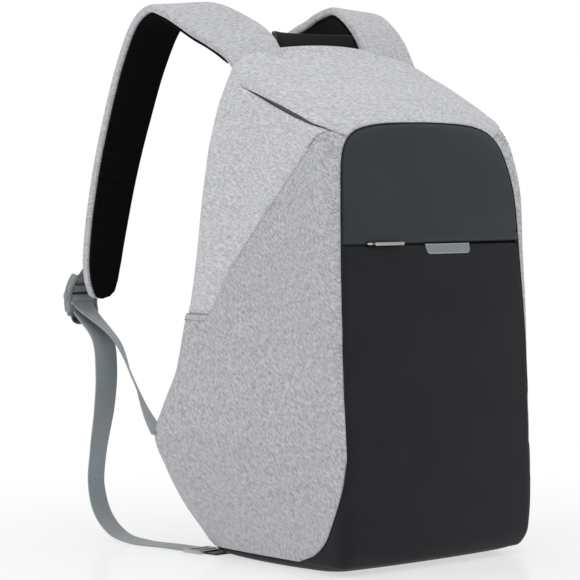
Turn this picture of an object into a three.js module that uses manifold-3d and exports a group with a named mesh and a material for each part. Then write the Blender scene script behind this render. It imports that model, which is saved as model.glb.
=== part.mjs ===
// A hard-shaped anti theft backpack with a wedge body, built as separate sewn and moulded pieces.
// Millimetres, Z up from the floor. The front faces -Y and the left shoulder strap is on -X.
import * as THREE from 'three';
import { mergeVertices } from 'three/addons/utils/BufferGeometryUtils.js';
import Module from 'manifold-3d';

const wasm = await Module();
wasm.setup();

// Driving sizes of the body
const BODY_HEIGHT = 446;
const BODY_WIDTH = 300;
const BODY_DEPTH = 200;
const WALL = 4;
const GAP = 0.35;
const FRONT_FILLET = 12;
const REAR_FILLET = 14;
const CROWN = 0.5;
const BASE_RISE = 6;
const BACK_MARGIN = 15;

// Openings in the body
const ZIP_HEIGHT = 275;
const ZIP_OPENING = 3;
const SLIT_OPENING = 2.6;
const FACING_THICKNESS = 1.4;
const FACING_BAND = 11;

// Zip fittings and the bare tag
const PULL_LENGTH = 30;
const PULL_HEIGHT = 2.6;
const PULL_THICKNESS = 1.6;
const PULL_EYE = 1;
const PULL_RING = 1.1;
const PIVOT_RADIUS = 0.65;
const LUG = 1;
const SLIDER_LENGTH = 7;
const SLIDER_PLACE = -77;
const TAG_WIDTH = 54;
const TAG_HEIGHT = 9;
const TAG_THICKNESS = 1.1;
const TAG_CORNER = 2.5;
const TAG_PLACE = 8;

// Straps, webbing and their hardware
const STRAP_REACH = 190;
const STRAP_WIDTH = 59;
const STRAP_THICKNESS = 8;
const LINING_THICKNESS = 2.4;
const LINING_MARGIN = 4;
const LAYER_GAP = 0.6;
const HANDLE_CLEARANCE = 1.5;
const HANDLE_WIDTH = 25;
const HANDLE_THICKNESS = 3;
const HANDLE_BOW = 26;
const HANDLE_RISE = 12;
const WEBBING_WIDTH = 25;
const WEBBING_THICKNESS = 1.5;
const LOCK_LENGTH = 38;
const LOCK_BAR = 4;
const LOCK_THICKNESS = 4;
const LOCK_RAIL = 4;
const LOCK_BULGE = 6;
const THUMB_LENGTH = 13;
const THUMB_THICKNESS = 2.4;
const SLIDER_FRAME_LENGTH = 22;
const SLIDER_FRAME_BAR = 3;
const LOOP_WIDTH = 20;
const LOOP_LENGTH = 14;
const LOOP_SEAT = 1.8;

// Flat pieces a curved edge is cut into
const CURVE_STEPS = 5;

const HALF_WIDTH = BODY_WIDTH / 2;
const FAR = 2 * (BODY_HEIGHT + BODY_WIDTH + BODY_DEPTH);

// Horizontal sections of the body: at is a share of BODY_HEIGHT. front, bend and back are shares of BODY_DEPTH
// for the front, its corners and the back. corner, side, rear and tuck are shares of HALF_WIDTH, and tuck sets
// the pocket's inner wall in.
const SECTIONS = [
  { at: 0, front: -0.39, corner: 0.65, bend: -0.36, side: 0.63, rear: 0.54, back: 0.34, tuck: 0 },
  { at: 0.006, front: -0.47, corner: 0.71, bend: -0.44, side: 0.67, rear: 0.58, back: 0.39, tuck: 0 },
  { at: 0.02, front: -0.5375, corner: 0.77, bend: -0.5075, side: 0.7, rear: 0.61, back: 0.43, tuck: 0 },
  { at: 0.05, front: -0.56, corner: 0.793, bend: -0.535, side: 0.73, rear: 0.665, back: 0.46, tuck: 0 },
  { at: 0.105, front: -0.565, corner: 0.807, bend: -0.5375, side: 0.785, rear: 0.79, back: 0.48, tuck: 0.01 },
  { at: 0.175, front: -0.563, corner: 0.81, bend: -0.535, side: 0.85, rear: 0.92, back: 0.487, tuck: 0.16 },
  { at: 0.242, front: -0.56, corner: 0.81, bend: -0.5325, side: 0.9, rear: 1.005, back: 0.492, tuck: 0.23 },
  { at: 0.3, front: -0.553, corner: 0.813, bend: -0.525, side: 0.885, rear: 0.965, back: 0.467, tuck: 0.19 },
  { at: 0.375, front: -0.545, corner: 0.823, bend: -0.512, side: 0.855, rear: 0.895, back: 0.435, tuck: 0.105 },
  { at: 0.475, front: -0.53, corner: 0.835, bend: -0.497, side: 0.835, rear: 0.88, back: 0.39, tuck: 0.075 },
  { at: 0.5, front: -0.525, corner: 0.837, bend: -0.4925, side: 0.832, rear: 0.855, back: 0.38, tuck: 0 },
  { at: 0.6, front: -0.5175, corner: 0.843, bend: -0.4725, side: 0.827, rear: 0.868, back: 0.33, tuck: 0 },
  { at: 0.7, front: -0.4925, corner: 0.85, bend: -0.4575, side: 0.827, rear: 0.883, back: 0.287, tuck: 0 },
  { at: 0.79, front: -0.4725, corner: 0.84, bend: -0.4075, side: 0.827, rear: 0.887, back: 0.246, tuck: 0 },
  { at: 0.84, front: -0.4475, corner: 0.823, bend: -0.3475, side: 0.823, rear: 0.873, back: 0.223, tuck: 0 },
  { at: 0.87, front: -0.365, corner: 0.813, bend: -0.255, side: 0.82, rear: 0.863, back: 0.208, tuck: 0 },
  { at: 0.91, front: -0.21, corner: 0.803, bend: -0.1, side: 0.81, rear: 0.83, back: 0.19, tuck: 0 },
  { at: 0.95, front: -0.035, corner: 0.765, bend: 0.05, side: 0.768, rear: 0.773, back: 0.178, tuck: 0 },
  { at: 0.98, front: 0.085, corner: 0.64, bend: 0.12, side: 0.644, rear: 0.65, back: 0.172, tuck: 0 },
  { at: 1, front: 0.13, corner: 0.4, bend: 0.145, side: 0.402, rear: 0.405, back: 0.17, tuck: 0 },
];

// Outline of the dark front panel: half is a share of HALF_WIDTH and height a share of BODY_HEIGHT
const PANEL_TOP = [
  { half: 0, height: 0.844 },
  { half: 0.3, height: 0.8425 },
  { half: 0.49, height: 0.838 },
  { half: 0.58, height: 0.83 },
  { half: 0.635, height: 0.814 },
];
const PANEL_SIDE = [
  { half: 0.675, height: 0.79 },
  { half: 0.703, height: 0.756 },
  { half: 0.728, height: 0.71 },
  { half: 0.742, height: 0.62 },
  { half: 0.758, height: 0.5 },
  { half: 0.767, height: 0.4 },
  { half: 0.767, height: 0.24 },
  { half: 0.755, height: 0.13 },
  { half: 0.735, height: 0.065 },
  { half: 0.7, height: 0.02 },
  { half: 0.63, height: -0.02 },
];

// Rounded lower corner where the dark cloth wraps on to the sides
const LOWER_CORNER = [
  { depth: -0.9, height: 0.262 },
  { depth: -0.56, height: 0.26 },
  { depth: -0.537, height: 0.225 },
  { depth: -0.53, height: 0.195 },
  { depth: -0.524, height: 0.165 },
  { depth: -0.505, height: 0.13 },
  { depth: -0.47, height: 0.095 },
  { depth: -0.425, height: 0.063 },
  { depth: -0.355, height: 0.037 },
  { depth: -0.28, height: 0.023 },
  { depth: -0.18, height: 0.01 },
];

// Seams on each side: depth is a share of BODY_DEPTH and height a share of BODY_HEIGHT
const SLIT_REAR = { depth: 0.06, height: 0.913 };
const SLIT_FRONT = { depth: -0.395, height: 0.828 };
const HOOD_SEAM_REAR = { depth: 0.5, height: 1.005 };
const HOOD_SEAM_FRONT = [
  { depth: -0.46, height: 0.8 },
  { depth: -0.8, height: 0.72 },
];
const DIAGONAL_SEAM = [
  { depth: -0.22, height: 0.752 },
  { depth: -0.03, height: 0.658 },
  { depth: 0.14, height: 0.568 },
  { depth: 0.245, height: 0.474 },
];
const POCKET_MOUTH = { depth: 0.9, height: 0.484 };
const POCKET_FLOOR = 0.115;
const POCKET_FRONT = { depth: -0.42, height: 0.25 };
const POCKET_WALL_RISE = 0.02;
const FACING_INNER = 0.72;
const ZIP_REACH = 0.72;
const BACK_HEIGHTS = [0, 0.02, 0.05, 0.1, 0.3, 0.6, 0.85, 0.93, 0.955];

// Shoulder strap, from its root at the crest to its tip: reach is a share of STRAP_REACH behind the crest,
// height of BODY_HEIGHT, out of HALF_WIDTH and width of STRAP_WIDTH, and roll is in degrees. stand is how much
// higher the right strap stands, as a share of BODY_HEIGHT.
const STRAP_ROUTE = [
  { out: 0.545, reach: -0.06, height: 0.958, width: 0.92, roll: -24, stand: 0 },
  { out: 0.55, reach: 0.03, height: 0.989, width: 0.93, roll: -22, stand: 0.026 },
  { out: 0.56, reach: 0.137, height: 1.017, width: 0.96, roll: -20, stand: 0.036 },
  { out: 0.575, reach: 0.242, height: 1.039, width: 0.99, roll: -18, stand: 0.03 },
  { out: 0.588, reach: 0.345, height: 1.059, width: 1, roll: -14, stand: 0.009 },
  { out: 0.598, reach: 0.426, height: 1.0695, width: 0.99, roll: -9, stand: -0.007 },
  { out: 0.605, reach: 0.51, height: 1.06, width: 0.96, roll: -3, stand: -0.009 },
  { out: 0.61, reach: 0.6, height: 1.026, width: 0.93, roll: 0, stand: -0.005 },
  { out: 0.615, reach: 0.71, height: 0.962, width: 0.9, roll: 0, stand: 0 },
  { out: 0.62, reach: 0.82, height: 0.87, width: 0.87, roll: 0, stand: 0 },
  { out: 0.63, reach: 0.9, height: 0.76, width: 0.82, roll: 0, stand: 0 },
  { out: 0.64, reach: 0.958, height: 0.65, width: 0.765, roll: 0, stand: 0 },
  { out: 0.643, reach: 0.99, height: 0.57, width: 0.69, roll: 0, stand: 0 },
  { out: 0.635, reach: 1.003, height: 0.53, width: 0.58, roll: 0, stand: 0 },
  { out: 0.625, reach: 1.01, height: 0.505, width: 0.42, roll: 0, stand: 0 },
  { out: 0.62, reach: 1.012, height: 0.498, width: 0.24, roll: 0, stand: 0 },
];

// The right strap is turned less: its roll as a share of the left one's
const RIGHT_ROLL = 0.55;
const LEFT_STRAP = { roll: 1, stand: 0 };
const RIGHT_STRAP = { roll: RIGHT_ROLL, stand: 1 };

// Carry handle from its middle to its right end: across is a share of its half span, bow of HANDLE_BOW and rise
// of HANDLE_RISE
const HANDLE_ROWS = [
  { across: 0, bow: 1, rise: 1 },
  { across: 0.45, bow: 0.9, rise: 1 },
  { across: 0.9, bow: 0.55, rise: 0.9 },
  { across: 1, bow: 0.1, rise: 0.2 },
  { across: 1, bow: -0.25, rise: -0.9 },
];

// Ladder lock: the top of its side rails, and its bars as shares of the rails' length
const LOCK_TOP = { reach: 1.085, height: 0.541 };
const LOCK_OUT = 0.645;
const LOCK_LEAN = 12;
const TAB_BAR = 0.36;
const WEBBING_BAR = 0.6;
const LOW_BAR = 0.9;
const TAB_ROW = -4;
const TAB_START = 0.4;

// Webbing from the ladder lock to the sewn end at the pocket corner, and the slack tail down to the floor.
const FIXED_ROUTE = [
  { out: 0.65, reach: 0.885, height: 0.41, turn: -30 },
  { out: 0.7, reach: 0.745, height: 0.355, turn: -50 },
  { out: 0.8, reach: 0.56, height: 0.3, turn: -45 },
  { out: 0.91, reach: 0.38, height: 0.255, turn: -25 },
  { out: 0.95, reach: 0.29, height: 0.235, turn: -12 },
];
const TAIL_ROUTE = [
  { out: 0.65, reach: 0.975, height: 0.41, turn: 2 },
  { out: 0.655, reach: 0.945, height: 0.345, turn: 2 },
  { out: 0.655, reach: 0.96, height: 0.27, turn: -2 },
  { out: 0.655, reach: 1.005, height: 0.18, turn: -12 },
  { out: 0.65, reach: 1.025, height: 0.11, turn: -14 },
  { out: 0.64, reach: 0.985, height: 0.052, turn: -10 },
  { out: 0.63, reach: 0.88, height: 0.014, turn: -5 },
  { out: 0.61, reach: 0.75, height: 0.002, turn: 0 },
  { out: 0.585, reach: 0.54, height: 0.001, turn: 0 },
];

// Value of a table's column at a height, eased between rows without overshoot
function column(rows, key, name, at) {
  const last = rows.length - 1;
  let index = rows.findIndex((row) => at <= row[key]) - 1;
  if (at > rows[last][key]) index = last - 1;
  index = Math.max(0, index);
  const slope = (i) => (rows[i + 1][name] - rows[i][name]) / (rows[i + 1][key] - rows[i][key]);
  const tangent = (i) => {
    if (i === 0 || i === last) return slope(Math.min(i, last - 1));
    const before = slope(i - 1);
    const after = slope(i);
    return before * after <= 0 ? 0 : (2 * before * after) / (before + after);
  };
  const low = rows[index];
  const high = rows[index + 1];
  const span = high[key] - low[key];
  const t = (at - low[key]) / span;
  const bend = t * t * (3 - 2 * t);
  const rise = tangent(index) * span * t * (1 - t) ** 2;
  const fall = tangent(index + 1) * span * t * t * (1 - t);
  return low[name] + (high[name] - low[name]) * bend + rise - fall;
}

const widthAt = (name, height) => HALF_WIDTH * column(SECTIONS, 'at', name, height);
const depthAt = (name, height) => BODY_DEPTH * column(SECTIONS, 'at', name, height);

// Closed section of the body at a height share, set in by inset and tucked in behind the pocket
function section(height, inset, tucked) {
  const tuck = tucked ? widthAt('tuck', height) : 0;
  const front = new THREE.Vector2(0, depthAt('front', height));
  const corner = new THREE.Vector2(widthAt('corner', height), depthAt('bend', height));
  const rear = new THREE.Vector2(widthAt('rear', height) - tuck, depthAt('back', height));
  const back = new THREE.Vector2(0, rear.y);
  const middle = new THREE.Vector2(widthAt('side', height) - tuck / 2, (corner.y + rear.y) / 2);
  const toward = (from, to, far) => from.clone().add(to.clone().sub(from).setLength(far));
  const reach = (a, b, size) => Math.min(size, 0.4 * a.distanceTo(b));
  const frontCut = reach(corner, rear, FRONT_FILLET);
  const rearCut = reach(corner, rear, REAR_FILLET);
  const bow = middle.clone().multiplyScalar(2).sub(corner.clone().add(rear).multiplyScalar(0.5));
  const crown = new THREE.Vector2(CROWN * corner.x, front.y);
  const curves = [
    [front, crown, toward(corner, crown, frontCut), 4],
    [toward(corner, crown, frontCut), corner, toward(corner, bow, frontCut), 3],
    [toward(corner, bow, frontCut), bow, toward(rear, bow, rearCut), 4],
    [toward(rear, bow, rearCut), rear, toward(rear, back, rearCut), 3],
    [toward(rear, back, rearCut), back.clone().lerp(rear, 0.5), back, 2],
  ];
  const half = [front];
  for (const [from, control, to, steps] of curves) {
    half.push(...new THREE.QuadraticBezierCurve(from, control, to).getPoints(steps).slice(1));
  }
  const left = half.slice(1, -1).reverse().map((point) => new THREE.Vector2(-point.x, point.y));
  const ring = [...half, ...left];
  return ring.map((point, i) => {
    const before = ring[(i + ring.length - 1) % ring.length];
    const after = ring[(i + 1) % ring.length];
    const along = after.clone().sub(before).normalize();
    return new THREE.Vector2(point.x - along.y * inset, point.y + along.x * inset);
  });
}

// Closed solid through rings of equal length, from the lowest to the highest
function loft(rings) {
  const count = rings[0].length;
  const positions = rings.flat().flatMap((point) => [point.x, point.y, point.z]);
  const faces = [];
  for (let level = 0; level < rings.length - 1; level += 1) {
    for (let i = 0; i < count; i += 1) {
      const next = (i + 1) % count;
      const low = level * count;
      const high = low + count;
      faces.push(low + i, low + next, high + next, low + i, high + next, high + i);
    }
  }
  const flat = (ring) => {
    const middle = ring.reduce((sum, point) => sum.add(point), new THREE.Vector3()).divideScalar(count);
    const across = ring[0].clone().sub(middle).normalize();
    const normal = new THREE.Vector3();
    ring.forEach((point, i) => {
      const after = ring[(i + 1) % count].clone().sub(middle);
      normal.add(point.clone().sub(middle).cross(after));
    });
    const up = normal.normalize().clone().cross(across);
    const plan = ring.map((point) => {
      const arm = point.clone().sub(middle);
      return new THREE.Vector2(arm.dot(across), arm.dot(up));
    });
    return THREE.ShapeUtils.triangulateShape(plan, []);
  };
  const top = (rings.length - 1) * count;
  for (const [a, b, c] of flat(rings[0])) faces.push(a, c, b);
  for (const [a, b, c] of flat(rings[rings.length - 1])) faces.push(top + a, top + b, top + c);
  const geometry = new THREE.BufferGeometry();
  geometry.setAttribute('position', new THREE.Float32BufferAttribute(positions, 3));
  geometry.setIndex(faces);
  return geometry;
}

// Share of the height where the roof starts to slope
const ROOF_START = 0.8;

// Heights of the body's levels: each row, and one between rows that stand far apart
const LEVEL_STEP = 0.095;
const LEVELS = SECTIONS.flatMap((row, i) => {
  const next = SECTIONS[i + 1];
  if (!next || next.at - row.at < LEVEL_STEP) return [row.at];
  return [row.at, (row.at + next.at) / 2];
});

// The body's solid, set in by inset. Its top and floor move in too, so a sloping roof keeps its wall.
function bodyLoft(inset, tucked = false) {
  const deep = (height) => depthAt('back', height) - depthAt('front', height) > 6 * WALL;
  const levels = LEVELS.filter((height) => inset <= 0 || deep(height));
  const slope = (height) => 2 * inset * Math.max(0, height - ROOF_START);
  const lift = (height) => inset + height * (BODY_HEIGHT - 2 * inset) - slope(height);
  return loft(levels.map((height) => section(height, inset, tucked)
    .map((point) => new THREE.Vector3(point.x, point.y, lift(height)))));
}

// Solid from a closed geometry, and geometry from a solid
function solid(geometry) {
  const plain = geometry.clone();
  plain.deleteAttribute('normal');
  plain.deleteAttribute('uv');
  const merged = mergeVertices(plain, 1e-4);
  const vertProperties = new Float32Array(merged.attributes.position.array);
  const triVerts = new Uint32Array(merged.index.array);
  return new wasm.Manifold(new wasm.Mesh({ numProp: 3, vertProperties, triVerts }));
}
function shape(body) {
  const mesh = body.getMesh();
  const geometry = new THREE.BufferGeometry();
  geometry.setAttribute('position', new THREE.Float32BufferAttribute(mesh.vertProperties, 3));
  geometry.setIndex([...mesh.triVerts]);
  return geometry;
}
// Largest of a cut's pieces, without the slivers beyond a seam
function largest(body) {
  return body.decompose().reduce((kept, piece) => (piece.volume() > kept.volume() ? piece : kept));
}
function mirrored(geometry) {
  const copy = geometry.index ? geometry.toNonIndexed() : geometry.clone();
  copy.deleteAttribute('normal');
  copy.deleteAttribute('uv');
  const position = copy.attributes.position;
  for (let i = 0; i < position.count; i += 3) {
    const corners = [0, 2, 1].map((k) => new THREE.Vector3().fromBufferAttribute(position, i + k));
    corners.forEach((corner, k) => position.setXYZ(i + k, -corner.x, corner.y, corner.z));
  }
  return mergeVertices(copy, 1e-4);
}

const extrude = (outline, depth) => new THREE.ExtrudeGeometry(outline, {
  depth, bevelEnabled: false, curveSegments: CURVE_STEPS,
});

// Prisms that cut the body: one seen from the front, running along Y, and one from the side, along X
function frontPrism(points, from, to) {
  const outline = new THREE.Shape(points.map((point) => new THREE.Vector2(point.x, point.z)));
  return solid(extrude(outline, to - from).rotateX(Math.PI / 2).translate(0, to, 0));
}
const ACROSS_X = new THREE.Vector3(1, 0, 0);
const ACROSS_Y = new THREE.Vector3(0, 1, 0);
const ACROSS_Z = new THREE.Vector3(0, 0, 1);
const SIDEWAYS = new THREE.Matrix4().makeBasis(ACROSS_Y, ACROSS_Z, ACROSS_X);
function sidePrism(points, from, to) {
  const outline = new THREE.Shape(points.map((point) => new THREE.Vector2(point.y, point.z)));
  return solid(extrude(outline, to - from).applyMatrix4(SIDEWAYS).translate(from, 0, 0));
}
function block(x0, x1, y0, y1, z0, z1) {
  const geometry = new THREE.BoxGeometry(x1 - x0, y1 - y0, z1 - z0);
  return solid(geometry.translate((x0 + x1) / 2, (y0 + y1) / 2, (z0 + z1) / 2));
}

const sidePoint = (row, lift = 0) => ({ y: row.depth * BODY_DEPTH, z: row.height * BODY_HEIGHT + lift });

// Dark panel's prism, grown by a margin
function panelPrism(margin) {
  const rows = [...PANEL_TOP, ...PANEL_SIDE];
  const right = rows.map((row) => ({
    x: row.half * HALF_WIDTH + (row.half > 0 ? margin : 0),
    z: row.height * BODY_HEIGHT + (PANEL_TOP.includes(row) ? margin : 0),
  }));
  const left = right.slice(1).reverse().map((point) => ({ x: -point.x, z: point.z }));
  return frontPrism([...right, ...left], -FAR, -BODY_DEPTH / 4);
}

// Dark cloth's lower corner on both sides, grown by a margin
function lowerCornerPrism(margin) {
  const arc = LOWER_CORNER.map((row) => ({ y: sidePoint(row).y + margin, z: sidePoint(row).z + margin }));
  return sidePrism([...arc, { y: arc.at(-1).y, z: -FAR }, { y: arc[0].y, z: -FAR }], -FAR, FAR);
}

// The roof seam from rear to front, lowered by a lens where the slit stands open
function roofSeam(lift, opening) {
  const steps = 8;
  const lens = [];
  for (let i = 0; i <= steps; i += 1) {
    const t = i / steps;
    const depth = THREE.MathUtils.lerp(SLIT_REAR.depth, SLIT_FRONT.depth, t);
    const height = THREE.MathUtils.lerp(SLIT_REAR.height, SLIT_FRONT.height, t);
    lens.push(sidePoint({ depth, height }, lift - opening * Math.sin(Math.PI * t)));
  }
  return [sidePoint(HOOD_SEAM_REAR, lift), ...lens];
}

function hoodPrism() {
  const front = HOOD_SEAM_FRONT.map((row) => sidePoint(row, GAP));
  const seam = [...roofSeam(GAP, 0), ...front];
  return sidePrism([...seam, { y: -FAR, z: front.at(-1).z }, { y: -FAR, z: FAR }, { y: FAR, z: FAR },
    { y: FAR, z: seam[0].z }], -FAR, FAR);
}
function gussetPrism() {
  const diagonal = DIAGONAL_SEAM.map((row) => sidePoint(row, GAP));
  return sidePrism([...roofSeam(-GAP, SLIT_OPENING), ...diagonal, sidePoint(POCKET_MOUTH, GAP)], -FAR, 0);
}
function sidePanelPrism() {
  const roof = [sidePoint(SLIT_FRONT, -3 * GAP), ...HOOD_SEAM_FRONT.map((row) => sidePoint(row, -GAP))];
  const diagonal = DIAGONAL_SEAM.map((row) => sidePoint(row, -GAP)).reverse();
  const low = [{ y: -FAR, z: roof.at(-1).z }, { y: -FAR, z: -FAR }, { y: FAR, z: -FAR }];
  return sidePrism([...roof, ...low, { y: FAR, z: sidePoint(POCKET_MOUTH, -GAP).z },
    sidePoint(POCKET_MOUTH, -GAP), ...diagonal], -FAR, 0);
}
function pocketWallPrism() {
  const top = sidePoint(DIAGONAL_SEAM.at(-1), GAP + POCKET_WALL_RISE * BODY_HEIGHT);
  const front = sidePoint(POCKET_FRONT);
  const floor = POCKET_FLOOR * BODY_HEIGHT;
  const low = [{ y: front.y, z: floor }, { y: FAR, z: floor }, { y: FAR, z: top.z }];
  return sidePrism([top, front, ...low], -FAR, 0);
}

// Padded back panel's prism, lying along the leaning back
function backPrism(margin) {
  const inner = BACK_HEIGHTS.map((height) => {
    const edge = widthAt('rear', height) - widthAt('tuck', height) - BACK_MARGIN + margin;
    return { x: Math.min(edge, widthAt('corner', height)), z: height * BODY_HEIGHT };
  });
  inner[0].z = -FAR;
  inner.at(-1).x -= BACK_MARGIN;
  inner.at(-1).z += margin;
  const left = inner.map((point) => ({ x: -point.x, z: point.z })).reverse();
  const behind = (height) => depthAt('back', height) - 1.5 * WALL;
  const slab = BACK_HEIGHTS.map((height) => ({ y: behind(height), z: height * BODY_HEIGHT }));
  slab.unshift({ y: slab[0].y, z: -FAR });
  slab.push({ y: slab.at(-1).y, z: FAR });
  const lean = sidePrism([...slab, { y: FAR, z: FAR }, { y: FAR, z: -FAR }], -FAR, FAR);
  return frontPrism([...inner, ...left], 0, FAR).intersect(lean);
}

// Body panels
const outer = solid(bodyLoft(0));
const cavity = solid(bodyLoft(WALL));
const tuckedShell = solid(bodyLoft(0, true)).subtract(solid(bodyLoft(WALL, true)));
const grown = solid(bodyLoft(-GAP));
const shell = outer.subtract(cavity);
const zipLow = ZIP_HEIGHT - ZIP_OPENING / 2;
const zipHigh = ZIP_HEIGHT + ZIP_OPENING / 2;
const baseFront = depthAt('front', 0) - GAP;
const baseBlock = block(-FAR, FAR, baseFront, FAR, -FAR, BASE_RISE);
const aboveBase = block(-FAR, FAR, baseFront - GAP, FAR, -FAR, BASE_RISE + GAP);
const frontHole = panelPrism(GAP).add(lowerCornerPrism(GAP));
const backHole = backPrism(GAP);
const openings = frontHole.add(backHole);
const frontSkin = shell.intersect(panelPrism(0).add(lowerCornerPrism(0))).subtract(aboveBase);

const base = shell.intersect(baseBlock);
const lowerFront = frontSkin.intersect(block(-FAR, FAR, -FAR, FAR, -FAR, zipLow));
const upperFront = frontSkin.intersect(block(-FAR, FAR, -FAR, FAR, zipHigh, FAR));
const backPanel = shell.intersect(backPrism(0)).subtract(aboveBase);
const hood = tuckedShell.intersect(hoodPrism()).subtract(openings);
const pocketSpace = solid(bodyLoft(WALL + GAP));
const pocketWall = tuckedShell.intersect(pocketWallPrism()).intersect(pocketSpace).subtract(aboveBase);
const gusset = tuckedShell.intersect(gussetPrism()).add(pocketWall).subtract(openings);
const sidePanel = shell.intersect(sidePanelPrism()).subtract(openings).subtract(aboveBase);

// Thin facings behind the open slits and behind the zip
const facingSkin = solid(bodyLoft(WALL + GAP)).subtract(solid(bodyLoft(WALL + GAP + FACING_THICKNESS)));
function slitFacing() {
  const above = roofSeam(FACING_BAND, 0).slice(1);
  const below = roofSeam(-FACING_BAND, 0).slice(1).reverse();
  return facingSkin.intersect(sidePrism([...above, ...below], -FAR, -FACING_INNER * HALF_WIDTH));
}
const zipHalf = ZIP_REACH * HALF_WIDTH;
const zipTape = facingSkin.intersect(block(-zipHalf, zipHalf, -FAR, -BODY_DEPTH / 4,
  ZIP_HEIGHT - FACING_BAND, ZIP_HEIGHT + FACING_BAND));

// Point and slope of the front face at a place across the zip's height
const zipShare = ZIP_HEIGHT / BODY_HEIGHT;
function frontAt(x) {
  const corner = widthAt('corner', zipShare);
  const start = depthAt('front', zipShare);
  const drop = depthAt('bend', zipShare) - start;
  const t = Math.abs(x) / corner;
  return { y: start + drop * t * t, slope: (2 * drop * t) / corner };
}

// Slider, its bridge with the pivot, and the pull that swings on it. The pull points to +X at rest.
const seat = frontAt(SLIDER_PLACE);
const zipAngle = Math.atan(Math.sign(SLIDER_PLACE) * seat.slope);
const plateOut = 2 * GAP + LUG;
const pivotOut = plateOut + GAP + PULL_EYE + PULL_RING;
const halfPull = PULL_HEIGHT / 2;
function cylinder(radius, height, x, y, sides = 16) {
  const geometry = new THREE.CylinderGeometry(radius, radius, height, sides);
  return solid(geometry.rotateX(Math.PI / 2).translate(x, y, 0));
}
function zipSlider() {
  const halfLength = SLIDER_LENGTH / 2;
  const halfNeck = ZIP_OPENING / 2 - GAP;
  const lugTop = halfPull + GAP + LUG;
  const lugHalf = PIVOT_RADIUS + LUG / 2;
  const neck = block(-halfLength, halfLength, -plateOut, WALL - GAP, -halfNeck, halfNeck);
  const plate = block(-halfLength, halfLength, -plateOut, -2 * GAP, -lugTop, lugTop);
  const lugs = block(-lugHalf, lugHalf, -pivotOut - lugHalf, -plateOut + LUG / 2, -lugTop, lugTop);
  const slot = block(-FAR, FAR, -FAR, -plateOut, -halfPull - GAP, halfPull + GAP);
  return neck.add(plate).add(lugs.subtract(slot)).add(cylinder(PIVOT_RADIUS, 2 * lugTop - LUG, 0, -pivotOut));
}
function zipPull() {
  const ring = cylinder(PULL_EYE + PULL_RING, PULL_HEIGHT, 0, 0);
  const bar = block(0, PULL_LENGTH, -PULL_THICKNESS / 2, PULL_THICKNESS / 2, -halfPull, halfPull);
  return ring.add(bar).subtract(cylinder(PULL_EYE, 2 * PULL_HEIGHT, 0, 0));
}

// Bare tag under the flap's edge, lying on the lower front panel
function frontTag() {
  const half = TAG_WIDTH / 2;
  const top = zipLow - GAP;
  const low = top - TAG_HEIGHT;
  const outline = new THREE.Shape();
  outline.moveTo(-half, top);
  outline.lineTo(-half, low + TAG_CORNER);
  outline.quadraticCurveTo(-half, low, -half + TAG_CORNER, low);
  outline.lineTo(half - TAG_CORNER, low);
  outline.quadraticCurveTo(half, low, half, low + TAG_CORNER);
  outline.lineTo(half, top);
  const prism = solid(extrude(outline, BODY_DEPTH).rotateX(Math.PI / 2).translate(TAG_PLACE, 0, 0));
  const skin = solid(bodyLoft(-GAP - TAG_THICKNESS)).subtract(grown);
  return prism.intersect(skin);
}

// A strip swept through stations. Each has a centre, a width and a turn of its width line about the route.
function strip(stations, thickness, across, rounding = 0, shift = 0) {
  const curve = new THREE.CatmullRomCurve3(stations.map((station) => station.at), false, 'centripetal');
  const count = stations.length - 1;
  const steps = count * 2;
  const rings = [];
  for (let i = 0; i <= steps; i += 1) {
    const u = i / steps;
    const index = Math.min(count - 1, Math.floor(u * count));
    const t = u * count - index;
    const mix = (name) => THREE.MathUtils.lerp(stations[index][name], stations[index + 1][name], t);
    const along = curve.getTangent(u);
    const wide = across.clone().addScaledVector(along, -across.dot(along)).normalize();
    wide.applyAxisAngle(along, THREE.MathUtils.degToRad(mix('turn')));
    const deep = along.clone().cross(wide).normalize();
    const half = mix('width') / 2;
    const flat = Math.max(half - rounding, 0.3 * half);
    const corners = rounding > 0
      ? [[-half, -0.25], [-flat, -0.5], [flat, -0.5], [half, -0.25], [half, 0.25], [flat, 0.5], [-flat, 0.5],
        [-half, 0.25]]
      : [[-half, -0.5], [half, -0.5], [half, 0.5], [-half, 0.5]];
    const centre = curve.getPoint(u);
    rings.push(corners.map(([x, y]) => centre.clone()
      .addScaledVector(wide, x)
      .addScaledVector(deep, y * thickness + shift)));
  }
  return loft(rings);
}

// Rear edge of the crest, which the straps and the handle follow
const crestRear = depthAt('back', 1);
const routePoint = (row, lift = 0) => new THREE.Vector3(
  -row.out * HALF_WIDTH, crestRear + row.reach * STRAP_REACH, row.height * BODY_HEIGHT + lift);

// Strap layers share one route: shift moves a layer along the strap's own normal
function strapLayer(shift, thickness, margin, side) {
  const stations = STRAP_ROUTE.map((row) => ({
    at: routePoint(row, side.stand * row.stand * BODY_HEIGHT),
    width: row.width * STRAP_WIDTH - 2 * margin,
    turn: row.roll * side.roll,
  }));
  return solid(strip(stations, thickness, ACROSS_X, thickness / 2, shift)).subtract(grown);
}

// Carry handle: a band standing on edge that bows out behind the crest
function carryHandle() {
  const root = STRAP_ROUTE[0];
  const strapEdge = root.out * HALF_WIDTH - (root.width * STRAP_WIDTH) / 2;
  const half = strapEdge - HANDLE_CLEARANCE - HANDLE_THICKNESS / 2;
  const leftRows = HANDLE_ROWS.slice(1).map((row) => ({ ...row, across: -row.across })).reverse();
  const stations = [...leftRows, ...HANDLE_ROWS].map(({ across, bow, rise }) => ({
    at: new THREE.Vector3(across * half, crestRear + bow * HANDLE_BOW,
      BODY_HEIGHT - HANDLE_WIDTH / 2 + rise * HANDLE_RISE),
    width: HANDLE_WIDTH,
    turn: 0,
  }));
  return solid(strip(stations, HANDLE_THICKNESS, ACROSS_Z)).subtract(grown);
}

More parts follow.
